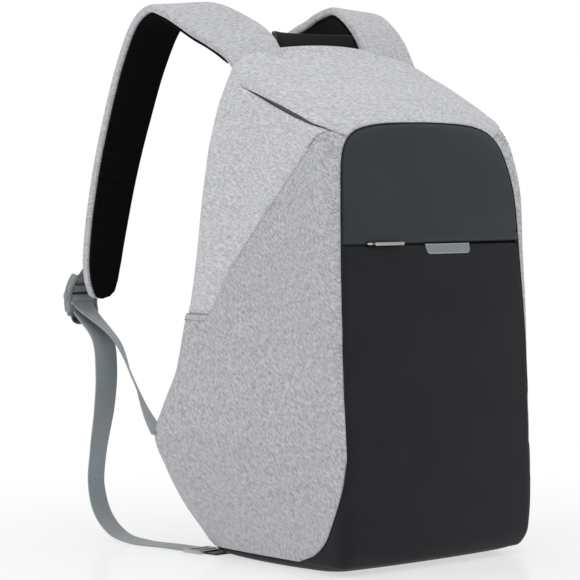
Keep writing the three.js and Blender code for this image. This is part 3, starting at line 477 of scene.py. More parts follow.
def signed(points, outline):
    """Distance of points to a closed outline, negative inside."""
    best = np.full(len(points), np.inf)
    inside = np.zeros(len(points), bool)
    for a, b in zip(outline, np.roll(outline, -1, axis=0)):
        along = b - a
        rel = points - a
        t = np.clip(rel @ along / max(along @ along, 1e-12), 0, 1)
        best = np.minimum(best, np.linalg.norm(rel - t[:, None] * along, axis=1))
        crosses = (a[1] > points[:, 1]) != (b[1] > points[:, 1])
        reach = a[0] + (points[:, 1] - a[1]) * along[0] / (along[1] if along[1] else 1e-9)
        inside ^= crosses & (points[:, 0] < reach)
    return np.where(inside, -best, best)


def dark_front(p):
    """Negative on the dark cloth: the front panel and the lower corners it wraps."""
    panel = np.where(p[:, 1] < -DEPTH / 4, signed(p[:, (0, 2)], panel_outline), 50)
    return np.minimum(panel, signed(p[:, (1, 2)], corner_outline))


def back_pad(p):
    """Negative on the padded back: inside the margin, on the leaning back face."""
    at = np.clip(p[:, 2] / HEIGHT, 0, 1)
    edge = HALF * (column("rear", at) - column("tuck", at)) - BACK_MARGIN
    edge = np.minimum(edge, HALF * column("corner", at)) - 15 * np.clip((at - 0.9) / 0.055, 0, 1) ** 2
    depth = DEPTH * column("back", at) - BACK_REACH - p[:, 1]
    return np.maximum.reduce([np.abs(p[:, 0]) - edge, depth, p[:, 2] - BACK_TOP * HEIGHT])


# %% [markdown]
# ## Cutting panels
# A seam is the line where a value is zero, such as the distance to an outline. Each mesh edge that crosses it
# is split right there, and the new points are joined across the faces, so the cut runs smoothly however the
# grid lies. The faces on one side of the seams are then kept as a panel.

# %% Cutting helpers
def places(items):
    return np.array([item.co[:] for item in items])


def cut_line(bm, value):
    """Cuts the surface along the line where value is zero."""
    bm.verts.index_update()
    bm.verts.ensure_lookup_table()
    near = value(places(bm.verts))
    on_line = {vert for vert in bm.verts if abs(near[vert.index]) < 0.12}
    crossed = []
    for edge in bm.edges:
        a, b = edge.verts
        if a in on_line or b in on_line:
            continue
        if near[a.index] * near[b.index] < 0:
            crossed.append((edge, a, near[a.index] / (near[a.index] - near[b.index])))
    fresh = [bmesh.utils.edge_split(edge, vert, share)[1] for edge, vert, share in crossed]
    bmesh.ops.connect_verts(bm, verts=list(set(fresh) | on_line), check_degenerate=True)


def sort_faces(bm):
    """Arrays that say for each face where its middle is and which cloth it belongs to."""
    p = np.array([face.calc_center_median()[:] for face in bm.faces])
    above = p[:, 2] > BASE_RISE
    dark = (dark_front(p) < 0) & above
    pad = (back_pad(p) < 0) & above
    return {"x": p[:, 0], "y": p[:, 1], "z": p[:, 2], "above": above, "dark": dark, "pad": pad,
            "grey": above & ~dark & ~pad, "roof": p[:, 2] > roof_seam(p[:, 1]),
            "upper": p[:, 2] > lower_seam(p[:, 1])}


def panel(source, name, chosen):
    """A copy of the form with only the chosen faces."""
    bm = source.copy()
    spare = [face for face, wanted in zip(bm.faces, chosen) if not wanted]
    bmesh.ops.delete(bm, geom=spare, context="FACES")
    print(name, len(bm.faces), "faces")
    return bm


for bm in (form, pocketed):
    cut_line(bm, lambda p: p[:, 2] - BASE_RISE)
    cut_line(bm, dark_front)
    cut_line(bm, back_pad)
    cut_line(bm, lambda p: p[:, 2] - roof_seam(p[:, 1]))
    cut_line(bm, lambda p: np.where(p[:, 1] > SLIT[0], p[:, 2] - lower_seam(p[:, 1]), 50))
    cut_line(bm, lambda p: np.where(p[:, 1] < -DEPTH / 4, p[:, 2] - ZIP_HEIGHT + ZIP_OPENING / 2, 50))
    cut_line(bm, lambda p: np.where(p[:, 1] < -DEPTH / 4, p[:, 2] - ZIP_HEIGHT - ZIP_OPENING / 2, 50))
outer, inner = sort_faces(form), sort_faces(pocketed)
print("cut form:", len(form.faces), "faces")

# %% [markdown]
# ## Finishing a panel
# Where cloth is sewn, its edge turns in. The helper finds each panel point's distance to the panel's edge and
# rolls the last few millimetres inwards. Solidify then gives the cloth its thickness. Panels keep their place
# in the mesh and ride on the bag's body.

# %% Panel helpers
def edge_distance(bm, reach):
    """Distance from each point to the nearest open edge, up to reach."""
    rim = [vert for vert in bm.verts if vert.is_boundary]
    tree = KDTree(len(rim))
    for i, vert in enumerate(rim):
        tree.insert(vert.co, i)
    tree.balance()
    return {vert: min(tree.find(vert.co)[2], reach) for vert in bm.verts}


def roll_edges(bm, reach, depth):
    """Turns the last stretch of a panel inwards, as a sewn edge does."""
    bm.normal_update()
    far = edge_distance(bm, reach)
    moves = {vert: vert.normal * -depth * (1 - far[vert] / reach) ** 2 for vert in bm.verts}
    for vert, move in moves.items():
        vert.co += move


def dress(name, bm, material, nodes=()):
    """Turns millimetres into metres, makes the object, and joins it to the frame."""
    bmesh.ops.scale(bm, vec=(MM, MM, MM), verts=bm.verts)
    for face in bm.faces:
        face.smooth = True
    mesh = bpy.data.meshes.new(name)
    bm.to_mesh(mesh)
    bm.free()
    piece = bpy.data.objects.new(name, mesh)
    bpy.context.scene.collection.objects.link(piece)
    for entry in material if isinstance(material, (list, tuple)) else [material]:
        mesh.materials.append(entry)
    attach(piece, BODY)
    if nodes:
        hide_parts(*nodes)
    return piece


def thicken(piece, thickness):
    """Gives a sheet its thickness inwards."""
    solid = piece.modifiers.new("cloth thickness", "SOLIDIFY")
    solid.thickness = thickness * MM
    solid.offset = -1
    solid.use_even_offset = True
    return piece


# %% [markdown]
# ## Dark front
# The upper panel is a flap whose lower edge stands a little proud over the hidden zip. The lower one tucks
# behind it, and runs down round the bottom corners. Both have soft rolled edges where they meet the grey, and
# a shallow pressed line runs along the flap just above its edge.

# %% Front panels
flap_faces = outer["dark"] & (outer["z"] > ZIP_HEIGHT + ZIP_OPENING / 2)
apron_faces = outer["dark"] & (outer["z"] < ZIP_HEIGHT - ZIP_OPENING / 2)
EDGE_REACH, EDGE_DEPTH = 3.5, 1.6
FRONT_STAND = 1.1
FOLD_ABOVE_ZIP, FOLD_WIDTH, FOLD_DEPTH = 8.0, 2.6, 0.8
# The apron's cloth is the darker copy of the flap's: painted shade.
for name, faces, lift, cloth, node in (
        ("front_flap", flap_faces, 1.6, FLAP_CLOTH, "front_panel_upper"),
        ("front_apron", apron_faces, -0.4, SHADED_APRON_CLOTH, "front_panel_lower")):
    bm = panel(form, name, faces)
    roll_edges(bm, EDGE_REACH, EDGE_DEPTH)
    bm.normal_update()
    for vert in bm.verts:
        near = max(0, 1 - abs(vert.co.z - ZIP_HEIGHT) / 12)
        across = min(1, max(0, (vert.co.x + 0.6 * HALF) / (0.9 * HALF)))
        fold = max(0, 1 - abs(vert.co.z - ZIP_HEIGHT - FOLD_ABOVE_ZIP) / FOLD_WIDTH) * across
        stand = FRONT_STAND + lift * (0.3 + 0.7 * across) * near ** 2
        vert.co += vert.normal * (stand - FOLD_DEPTH * fold)
        if name == "front_flap":
            vert.co.z -= 2.2 * (1 - across) * near ** 2
    if name == "front_apron":
        apron_surface = BVHTree.FromBMesh(bm)
    thicken(dress(name, bm, cloth, [node]), 2.6)

# %% [markdown]
# ## Grey shell
# The hood covers the top. Behind and below it the upper side cloth carries on inside the pocket, and the
# lower side cloth bellies out to form the pocket's outer wall. The lower edge of the hidden slit sags open
# as a thin lens. Both sides of each seam sink a little, as they do where a row of stitches pulls them in. Only
# the roof seam behind the slit is pressed flat, so its points keep their places.

# %% Grey panels
SEAM_REACH, SEAM_DEPTH = 3.2, 1.3
SLIT_SAG, SLIT_BLEND = 4.2, 14.0
NEAR_SEAM = 6.0
POCKET_DEPTH, POCKET_FLOOR, POCKET_FRONT = 3.4, 56.0, -70.0
LIP_REACH, LIP_STAND = 10.0, 2.2


def closed_seam(bm):
    """Where the points stand along the seam behind the slit, which is pressed flat and hardly shows."""
    return {vert: vert.co.copy() for vert in bm.verts
            if vert.co.y > SLIT[1] + 2 and abs(vert.co.z - float(roof_seam(vert.co.y))) < NEAR_SEAM}


bm = panel(form, "hood", outer["grey"] & outer["roof"])
at_slit = {vert for vert in bm.verts
           if SLIT[0] < vert.co.y < SLIT[1] and abs(vert.co.z - float(roof_seam(vert.co.y))) < NEAR_SEAM}
kept = {vert: vert.co.copy() for vert in at_slit}
closed = closed_seam(bm)
roll_edges(bm, SEAM_REACH, SEAM_DEPTH)
for vert, place in kept.items():
    vert.co = place * 0.75 + vert.co * 0.25
for vert, place in closed.items():
    vert.co = place
hood = thicken(dress("hood_cloth", bm, HOOD_CLOTH, ["hood"]), 2.6)

stitch_surfaces, gusset_surfaces = {}, {}
for side, sign in SIDES:
    upper = inner["upper"] & (inner["y"] > SLIT[0])
    pocket_wall = (inner["z"] > POCKET_FLOOR) & (inner["y"] > POCKET_FRONT)
    faces = inner["grey"] & ~inner["roof"] & (upper | pocket_wall) & (inner["x"] * sign > 0)
    bm = panel(pocketed, "gusset " + side, faces)
    closed = closed_seam(bm)
    roll_edges(bm, SEAM_REACH, SEAM_DEPTH)
    for vert, place in closed.items():
        vert.co = place
    bm.normal_update()
    for vert in bm.verts:
        y, z = vert.co.y, vert.co.z
        off = z - float(lower_seam(y))
        below = min(1, max(0, -off / 5))
        groove = SEAM_DEPTH * max(0, 1 - abs(off) * 0.75 / SEAM_REACH) ** 2
        t = min(1, max(0, (y - SLIT[0]) / (SLIT[1] - SLIT[0])))
        near = max(0, 1 - abs(float(roof_seam(y)) - z) / SLIT_BLEND)
        vert.co -= vert.normal * max(POCKET_DEPTH * below, groove)
        vert.co.z -= SLIT_SAG * math.sin(math.pi * t ** 0.8) * near ** 2
    gusset_surfaces[side] = BVHTree.FromBMesh(bm)
    thicken(dress("gusset_cloth_" + side, bm, GUSSET_CLOTH, ["side_gusset_" + side]), 2.0)
    faces = outer["grey"] & ~outer["roof"] & ~outer["upper"] & (outer["x"] * sign > 0)
    bm = panel(form, "side " + side, faces)
    roll_edges(bm, SEAM_REACH, SEAM_DEPTH)
    bm.normal_update()
    for vert in bm.verts:
        y, z = vert.co.y, vert.co.z
        lip = max(0, 1 - abs(POCKET_MOUTH[-1, 1] - z) / LIP_REACH) if y > DIAGONAL[-1, 0] else 0
        vert.co += vert.normal * LIP_STAND * lip
    stitch_surfaces[side] = BVHTree.FromBMesh(bm)
    thicken(dress("side_cloth_" + side, bm, SHADED_SIDE_CLOTH, ["side_panel_" + side]), 2.6)

# %% [markdown]
# Behind each open slit runs a facing, a strip of plain grey twill that hides the zip. It follows the slit
# just under the surface, so it is a narrow grid laid along the seam and dropped on to the shell from outside.

# %% Slit facings
FACING_WIDTH, FACING_DEPTH = 13.0, 3.4
body_surface = BVHTree.FromBMesh(form)
for side, sign in SIDES:
    bm = bmesh.new()
    bmesh.ops.create_grid(bm, x_segments=40, y_segments=4, size=0.5)
    for vert in bm.verts:
        y = SLIT[0] + 3 + (vert.co.x + 0.5) * (SLIT[1] - SLIT[0] - 3)
        z = float(roof_seam(y)) + 4 + (vert.co.y - 0.5) * FACING_WIDTH
        hit, normal = body_surface.ray_cast(Vector((sign * 300, y, z)), Vector((-sign, 0, 0)))[:2]
        vert.co = hit - normal * FACING_DEPTH
    bmesh.ops.recalc_face_normals(bm, faces=bm.faces)
    if sum(face.normal.x for face in bm.faces) * sign < 0:
        bmesh.ops.reverse_faces(bm, faces=bm.faces)
    thicken(dress("facing_" + side, bm, SLIT_CLOTH, ["slit_facing_" + side]), 1.0)

# %% [markdown]
# ## Back and base
# The back is a padded panel of black mesh over foam, with a middle channel and cross channels that let air
# through. The base is one piece of black coated cloth.

# %% Back and base
PAD_BORDER, PAD_PUFF, PAD_SINK = 14.0, 6.5, 0.8
MIDDLE_CHANNEL, CROSS_CHANNEL, CHANNEL_PITCH, CHANNEL_SHIFT = 9.0, 4.0, 92.0, 40.0
bm = panel(form, "back pad", outer["pad"])
far = edge_distance(bm, PAD_BORDER)
bm.normal_update()
for vert in bm.verts:
    crown = 1 - (1 - far[vert] / PAD_BORDER) ** 2
    channel = min(1, max(0, (abs(vert.co.x) - MIDDLE_CHANNEL) / 10))
    from_cross = abs((vert.co.z - CHANNEL_SHIFT) % CHANNEL_PITCH - CHANNEL_PITCH / 2)
    cross = min(1, max(0, (from_cross - CROSS_CHANNEL) / 9))
    puff = PAD_PUFF * crown * (0.35 + 0.65 * min(channel, cross)) - PAD_SINK
    vert.co += vert.normal * puff
back = thicken(dress("back_padding", bm, BACK_MESH, ["back_panel"]), 4.0)

bm = panel(form, "base", ~outer["above"])
roll_edges(bm, 2.5, 0.6)
thicken(dress("base_cloth", bm, BASE_CLOTH, ["base"]), 2.2)
zip_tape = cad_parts["zip_tape"].data
zip_tape.materials.clear()
zip_tape.materials.append(LINING_CLOTH)

# %% [markdown]
# ## Stitches
# Sewing thread shows as a row of short dashes, each a little longer than the gap after it. One dash is a
# rounded bead of a few faces. Copies are laid along a line that is dropped on to the cloth.

# %% Stitch helper
def stitches(name, line, surface, towards, pitch, thread, material):
    """Rows of thread along a line of points, dropped on to a surface along a direction."""
    line = np.asarray(line, float)
    length = np.concatenate([[0], np.cumsum(np.linalg.norm(np.diff(line, axis=0), axis=1))])
    at = np.arange(pitch / 2, length[-1], pitch)
    spots = np.array([np.interp(at, length, line[:, i]) for i in range(3)]).T
    towards = Vector(towards)
    bm = bmesh.new()
    count = 0
    for spot, ahead in zip(spots, np.roll(spots, -1, axis=0)):
        hit, normal = surface.ray_cast(Vector(spot) - towards * 60, towards)[:2]
        if hit is None:
            continue
        along = (Vector(ahead) - Vector(spot)).normalized() if count < len(spots) - 1 else along
        made = bmesh.ops.create_icosphere(bm, subdivisions=1, radius=thread / 2)["verts"]
        turn = along.to_track_quat("X", "Z").to_matrix()
        bmesh.ops.scale(bm, vec=(pitch * 0.62 / thread, 1, 1), verts=made)
        bmesh.ops.rotate(bm, cent=(0, 0, 0), matrix=turn, verts=made)
        bmesh.ops.translate(bm, vec=hit + normal * thread * 0.15, verts=made)
        count += 1
    print(name, count, "stitches")
    return dress(name, bm, material)


TACK_TOP, TACK_STEP = 367.0, 0.9
for side, sign in SIDES:
    mouth = [(sign * 120, y, float(lower_seam(y)) - 4.5) for y in np.linspace(50, 84, 14)]
    stitches("pocket_stitches_" + side, mouth, stitch_surfaces[side], (-sign, 0, 0), 2.6, 0.9, GREY_THREAD)
    tack = [(sign * 110, SLIT[0] - 0.6 - 1.4 * (i % 2), TACK_TOP - TACK_STEP * i) for i in range(9)]
    stitches("slit_tack_" + side, tack, stitch_surfaces[side], (-sign, 0, 0), 1.6, 0.7, GREY_THREAD)
    for name, offset, share, surface in (("seam_stitches_", 2.4, 0.86, stitch_surfaces[side]),
                                         ("gusset_stitches_", -2.0, 0.2, gusset_surfaces[side])):
        last = int(len(diagonal_line) * share)
        seam = [(sign * 120, y - offset * 0.7, z - offset * 0.7) for y, z in diagonal_line[3:last]]
        stitches(name + side, seam, surface, (-sign, 0, 0), 3.2, 0.55, GREY_THREAD)

# %% [markdown]
# ## Bands
# Straps, lining, handle and webbing are all bands swept along a route. Each row of a route gives the middle of
# the band, its width and how far it turns about the route. A grid is laid round the band's section and along
# its route. The section is a flattened oval, and its power says how square its edges are.

# %% Band helper
CREST_REAR = 34.0
STRAP_REACH = 190.0


def frames_along(stations, across, each):
    """Points, width directions, thickness directions, widths and lengths along a route."""
    points = smooth_line([row[0] for row in stations], each)
    share = np.linspace(0, len(stations) - 1, len(points))
    index = np.arange(len(stations))
    widths = np.interp(share, index, [row[1] for row in stations])
    turns = np.radians(np.interp(share, index, [row[2] for row in stations]))
    along = np.gradient(points, axis=0)
    along /= np.linalg.norm(along, axis=1)[:, None]
    wide = across - along * (along @ across)[:, None]
    wide /= np.linalg.norm(wide, axis=1)[:, None]
    turned = np.cross(along, wide)
    wide = wide * np.cos(turns)[:, None] + turned * np.sin(turns)[:, None]
    deep = np.cross(along, wide)
    length = np.concatenate([[0], np.cumsum(np.linalg.norm(np.diff(points, axis=0), axis=1))])
    return points, wide, deep, widths, length


def band(name, stations, thickness, material, nodes=(), across=(1, 0, 0), around=28, each=8,
         power=0.3, shift=0.0, margin=0.0):
    """A closed band along stations of (middle, width, turn). shift moves it along its thickness."""
    points, wide, deep, widths, length = frames_along(stations, np.array(across, float), each)
    count = len(points) - 1
    bm = bmesh.new()
    bmesh.ops.create_grid(bm, x_segments=around, y_segments=count, size=0.5)
    route = bm.verts.layers.float_vector.new("route")
    for vert in bm.verts:
        angle = 2 * math.pi * (vert.co.x + 0.5)
        i = round((vert.co.y + 0.5) * count)
        half = widths[i] / 2 - margin
        c, s = math.cos(angle), math.sin(angle)
        x = half * math.copysign(abs(c) ** power, c)
        y = thickness / 2 * math.copysign(abs(s) ** power, s) + shift
        vert.co = points[i] + wide[i] * x + deep[i] * y
        vert[route] = (x, length[i], y)
    bmesh.ops.remove_doubles(bm, verts=bm.verts, dist=1e-4)
    bmesh.ops.holes_fill(bm, edges=[edge for edge in bm.edges if edge.is_boundary], sides=0)
    bmesh.ops.recalc_face_normals(bm, faces=bm.faces)
    print(name, round(length[-1]), "mm long")
    return dress(name, bm, material, nodes)


def on_route(sign, out, reach, height):
    return np.array((sign * out * HALF, CREST_REAR + reach * STRAP_REACH, height * HEIGHT))


# %% [markdown]
# ## Shoulder straps
# A strap is grey cloth over 8 mm foam, with black mesh on the inner face. It rises from the crest, turns over
# and hangs down behind the bag. It rolls outwards where it leaves the bag, the left one more than the right.
# A row gives a place as shares of the half width, the reach and the height, then the width, the roll, and how
# much higher the right strap stands there. Each strap has rows of its own where it leaves the crest.

# %% Straps
STRAP_WIDTH, STRAP_THICK = 59.0, 8.0
MESH_THICK, MESH_SHIFT, MESH_MARGIN = 3.6, 5.6, 1.8
STRAP_ROOTS = {
    "left": [(0.6, -0.1, 0.925, 0.78, -16, 0), (0.565, 0.03, 0.989, 0.86, -24, 0),
             (0.56, 0.137, 1.017, 0.96, -20, 0)],
    "right": [(0.525, -0.06, 0.945, 1.1, -16, 0), (0.53, 0.03, 0.989, 1.1, -22, 0.026),
              (0.548, 0.137, 1.017, 1.04, -20, 0.04)],
}
STRAP_ROUTE = [
    (0.575, 0.242, 1.039, 0.99, -18, 0.036), (0.588, 0.345, 1.06, 1, -14, 0.008),
    (0.598, 0.432, 1.072, 0.99, -9, -0.018), (0.605, 0.525, 1.075, 0.96, -3, -0.033),
    (0.61, 0.62, 1.048, 0.93, 0, -0.027), (0.615, 0.725, 0.972, 0.9, 0, -0.01),
    (0.62, 0.82, 0.87, 0.87, 0, 0), (0.63, 0.9, 0.76, 0.82, 0, 0),
    (0.64, 0.958, 0.65, 0.765, 0, 0), (0.643, 0.99, 0.57, 0.69, 0, 0), (0.635, 1.003, 0.53, 0.58, 0, 0),
    (0.625, 1.01, 0.505, 0.42, 0, 0), (0.62, 1.012, 0.498, 0.24, 0, 0),
]
ROLLS = {"left": 1.0, "right": 0.2}
for side, sign in SIDES:
    stands = 1 if side == "right" else 0
    stations = [(on_route(sign, out, reach, height + stands * stand), width * STRAP_WIDTH,
                 -sign * turn * ROLLS[side]) for out, reach, height, width, turn, stand in STRAP_ROOTS[side] + STRAP_ROUTE]
    cover = band("strap_cloth_" + side, stations, STRAP_THICK, STRAP_CLOTH,
                 ["shoulder_strap_" + side], around=44, power=0.32)
    lining = band("strap_mesh_" + side, stations[1:], MESH_THICK, STRAP_MESH,
                  ["strap_lining_" + side], around=44, power=0.3, shift=MESH_SHIFT, margin=MESH_MARGIN)

# %% [markdown]
# ## Carry handle
# The handle is a dark band standing on edge that bows out behind the crest between the straps.

# %% Handle
HANDLE_HALF, HANDLE_BOW, HANDLE_LIFT, HANDLE_SINK = 51.6, 26.0, 12.0, 12.5
HANDLE_ROWS = [(-1.16, 0, 0.2, 16), (-1.1, 0.15, 0.65, 22), (-1, 0.4, 1, 24), (-0.6, 0.82, 1, 25),
               (0, 1, 1, 25), (0.6, 0.82, 1, 25), (1, 0.4, 1, 24), (1.1, 0.15, 0.65, 22), (1.16, 0, 0.2, 16)]
stations = [(np.array((x * HANDLE_HALF, CREST_REAR + bow * HANDLE_BOW,
                       HEIGHT - HANDLE_SINK + rise * HANDLE_LIFT)), width, 0)
            for x, bow, rise, width in HANDLE_ROWS]
band("carry_handle_band", stations, 3.2, HANDLE_CLOTH, ["carry_handle"], across=(0, 0, 1))

# %% [markdown]
# ## Shade cord
# A thin black cord lies in the seam round the dark front. It is painted shade: it draws the dark line of shade
# along the panel's rounded edge, between the two cloths. Its line is dropped on to the body, from the front for
# the panel and from the side for the corners. Beside the panel its lowest end is sunk under the cloth, where
# the dark cloth turns the corner.

# %% Shade cord
SHADE_CORD = 1.7


def dropped(points, towards):
    """The points moved on to the body's surface along a direction."""
    landed = []
    for point in points:
        hit = body_surface.ray_cast(Vector(point) - Vector(towards) * 300, Vector(towards))[0]
        if hit is not None:
            landed.append(np.array(hit))
    return landed


for name, low, high in (("upper", 0.24, 0.84), ("lower", 0.03, 0.22)):
    for side, sign in SIDES:
        if name == "upper":
            line = [(sign * x, -100, z) for x, z in panel_right[::3] if z > low * HEIGHT]
            route_points = dropped(line, (0, 1, 0))
            route_points[-1] = route_points[-1] + (-sign * SHADE_CORD, SHADE_CORD, 0)
        else:
            line = [(sign * 100, y, z) for y, z in corner_arc[::3] if low * HEIGHT < z < high * HEIGHT]
            route_points = dropped(line, (-sign, 0, 0))
        band("shade_cord_" + name + "_" + side, [(point, SHADE_CORD, 0) for point in route_points], SHADE_CORD, BASE_CLOTH,
             across=(0, 1, 0) if name == "upper" else (1, 0, 0), around=8, each=2, power=1.0)

# %% [markdown]
# ## Webbing
# From the ladder lock one band runs to the bag's rear corner, and the slack tail falls to the floor and lies
# along it to a small metal slider. A short tab hangs the lock from the strap. Each of the lock's two bars has
# webbing wrapped round it, and the tab's sewn end lies behind them.

# %% Webbing bands
LOCK_LENGTH, LOCK_LEAN, LOCK_BULGE = 38.0, math.radians(12), 6.0
FIXED_ROUTE = [(0.65, 0.885, 0.41, -30), (0.7, 0.745, 0.355, -50), (0.8, 0.56, 0.3, -45),
               (0.91, 0.38, 0.255, -25), (0.95, 0.29, 0.235, -12)]
TAIL_ROUTE = [
    (0.65, 0.975, 0.41, 2), (0.655, 0.945, 0.345, 2), (0.655, 0.96, 0.27, -2), (0.655, 1.005, 0.18, -12),
    (0.65, 1.025, 0.11, -14), (0.64, 0.985, 0.052, -10), (0.63, 0.88, 0.014, -5), (0.61, 0.75, 0.002, 0),
    (0.585, 0.54, 0.001, 0), (0.585, 0.382, 0.001, 0),
]
FLOOR_SLIDER_REAR, FLOOR_SLIDER_LENGTH = 106.15, 22.35
WEBBING_WIDTH, WEBBING_THICK, WRAP_THICK = 25.0, 1.5, 1.4
TAB_BAR, TAIL_BAR = 0.36, 0.6
WRAP, BAR_GAP = 2.9, 3.85


def bulge(share):
    return LOCK_BULGE * 4 * share * (1 - share)


def on_lock(sign, along, lift):
    """Point in the ladder lock's own frame: along its rails, and lifted behind them."""
    top = on_route(sign, 0.645, 1.085, 0.541)
    down = np.array((0, math.sin(LOCK_LEAN), -math.cos(LOCK_LEAN)))
    off = np.array((0, math.cos(LOCK_LEAN), math.sin(LOCK_LEAN)))
    return top + down * along + off * lift


def webbing(name, stations, thickness, material, slot="webbing", nodes=()):
    """A band with the flat section of webbing. Stations are (middle, turn)."""
    rows = [(middle, 20 if slot == "dark_cloth" else WEBBING_WIDTH, turn) for middle, turn in stations]
    return band(name, rows, thickness, material, nodes, around=20, power=0.25)


for side, sign in SIDES:
    for name, rows, below, node in (("webbing_fixed", FIXED_ROUTE, -1.5, "fixed_webbing_"),
                                    ("webbing_tail", TAIL_ROUTE, 3.0, "tail_webbing_")):
        stations = [(on_lock(sign, TAIL_BAR * LOCK_LENGTH + below + more, bulge(TAIL_BAR) - BAR_GAP), 0)
                    for more in (0, 6)]
        stations += [(on_route(sign, out, reach, height) + (0, 0, WEBBING_THICK / 2), -sign * turn)
                     for out, reach, height, turn in rows]
        webbing(name + "_" + side, stations, WEBBING_THICK, WEBBING, nodes=[node + side])
    low, above = on_route(sign, *STRAP_ROUTE[9][:3]), on_route(sign, *STRAP_ROUTE[8][:3])
    high = above * 0.6 + low * 0.4
    outward = np.cross((1, 0, 0), low - high)
    outward *= 5.6 / np.linalg.norm(outward)
    stations = [(high + outward, 0), (low + outward, 0),
                (on_lock(sign, TAB_BAR * LOCK_LENGTH - BAR_GAP, bulge(TAB_BAR)), 0)]
    # The tab and its wrap round the upper bar use the darker copy of the webbing: painted shade.
    webbing("webbing_tab_" + side, stations, WEBBING_THICK, SHADED_TAB_WEBBING, nodes=["strap_tab_" + side])
    for name, bar, way, cloth in (("tab", TAB_BAR, 1, SHADED_TAB_WEBBING), ("tail", TAIL_BAR, -1, WEBBING)):
        wrap = [(-3.5, -WRAP), (0, -WRAP), (0.7 * WRAP, -0.7 * WRAP), (WRAP, 0), (0.7 * WRAP, 0.7 * WRAP),
                (0, WRAP), (-3.5, WRAP)]
        stations = [(on_lock(sign, bar * LOCK_LENGTH + way * along, bulge(bar) + lift), 0)
                    for along, lift in wrap]
        webbing("webbing_wrap_" + name + "_" + side, stations, WRAP_THICK, cloth)
    # The sewn end is in the darker webbing too: painted shade.
    stations = [(on_lock(sign, TAB_BAR * LOCK_LENGTH + more, bulge(TAB_BAR) + WRAP + 1.5), 0)
                for more in (-2, 4, 9)]
    webbing("webbing_end_" + side, stations, WRAP_THICK, SHADED_TAB_WEBBING)
    front = FLOOR_SLIDER_REAR - FLOOR_SLIDER_LENGTH
    stations = [(np.array((sign * 0.585 * HALF, y, 0.8)), 0) for y in (front, front - 7, front - 13.5)]
    webbing("webbing_loop_" + side, stations, WEBBING_THICK, BLACK_WEBBING, "dark_cloth",
            ["slider_loop_" + side])

# %% [markdown]
# ## Hard trim
# The CAD solids already have the right shapes, but their edges are razor sharp. A merged copy of each gets a
# small bevel, so that its edges catch the light as moulded and cast ones do. Each rail of a lock also gets two
# rounded ridges and a knob, and the zip slider is made afresh from two flattened spheres.

# %% Hard trim
def softened(node, name, material, bevel, body=BODY):
    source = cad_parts[node]
    bm = bmesh.new()
    bm.from_mesh(source.data)
    bmesh.ops.remove_doubles(bm, verts=bm.verts, dist=1e-6)
    bmesh.ops.dissolve_limit(bm, angle_limit=math.radians(2), verts=bm.verts, edges=bm.edges)
    bmesh.ops.scale(bm, vec=(1 / MM,) * 3, verts=bm.verts)
    piece = dress(name, bm, material, [node])
    if body != BODY:
        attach(piece, body)
    round_off = piece.modifiers.new("soft edges", "BEVEL")
    round_off.width = bevel * MM
    round_off.segments = 2
    round_off.limit_method = "ANGLE"
    round_off.angle_limit = math.radians(35)
    round_off.harden_normals = True
    return piece


THUMB_HALF = 13.4
RAIL_INSET = 2.0
RIDGE_LIFT, RIDGE_WIDTH, RIDGE_THICK = 2.1, 5, 3.2
KNOB_RADII, KNOB_OUT = (2.2, 3.0, 4.6), 2.4
for side, sign in SIDES:
    lock = softened("ladder_lock_" + side, "lock_" + side, [LOCK_PLASTIC, THUMB_PLASTIC], 0.7)
    tab_start = on_lock(sign, 0.9 * LOCK_LENGTH + 2, 0) * MM
    down = Vector((0, math.sin(LOCK_LEAN), -math.cos(LOCK_LEAN)))
    for face in lock.data.polygons:
        inside = abs(face.center.x - tab_start[0]) < THUMB_HALF * MM
        if inside and (face.center - Vector(tab_start)).dot(down) > 0:
            face.material_index = 1
    low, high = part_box("ladder_lock_" + side)
    for edge, way, rail_x in (("low", -1, low[0] / MM + RAIL_INSET), ("high", 1, high[0] / MM - RAIL_INSET)):
        for ridge, lift in (("front", -RIDGE_LIFT), ("rear", RIDGE_LIFT)):
            middles = [on_lock(sign, share * LOCK_LENGTH, bulge(share) + lift) * (0, 1, 1) + (rail_x, 0, 0)
                       for share in (0, 0.15, 0.35, 0.55, 0.75, 0.92)]
            band("lock_ridge_%s_%s_%s" % (edge, ridge, side), [(middle, RIDGE_WIDTH, 0) for middle in middles],
                 RIDGE_THICK, LOCK_PLASTIC, around=14, each=5, power=1.0)
        bm = bmesh.new()
        knob = bmesh.ops.create_icosphere(bm, subdivisions=2, radius=1)["verts"]
        bmesh.ops.scale(bm, vec=KNOB_RADII, verts=knob)
        place = on_lock(sign, 0.55 * LOCK_LENGTH, bulge(0.55)) * (0, 1, 1) + (rail_x + way * KNOB_OUT, 0, 0)
        bmesh.ops.translate(bm, vec=Vector(place), verts=knob)
        dress("lock_knob_%s_%s" % (edge, side), bm, LOCK_PLASTIC)
    softened("floor_slider_" + side, "slider_floor_" + side, NICKEL, 0.5)

SLIDER_BODY = (8.4, 3.6, 2.6, -82.2)
SLIDER_NOSE = (3.2, 3.0, 1.8, -77.4)
low, high = (np.array(corner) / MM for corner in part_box("zip_slider"))
bm = bmesh.new()
for length, depth, height, x in (SLIDER_BODY, SLIDER_NOSE):
    made = bmesh.ops.create_uvsphere(bm, u_segments=20, v_segments=12, radius=0.5)["verts"]
    bmesh.ops.scale(bm, vec=(length, depth, height), verts=made)
    bmesh.ops.translate(bm, vec=(x, (low[1] + high[1]) / 2 - 0.5, ZIP_HEIGHT), verts=made)
dress("slider_zip", bm, NICKEL, ["zip_slider"])
softened("zip_pull", "pull_zip", NICKEL, 0.3, body="zip_pull")

# %% [markdown]
# ## Front tag
# The tag is a soft rubber plate sewn in under the flap, square at the top and rounded at its lower corners,
# with a fine raised rim. It is left bare. A fine grid is trimmed to that outline and dropped on to the cloth,
# and the points near its edge stand a little higher than the rest.

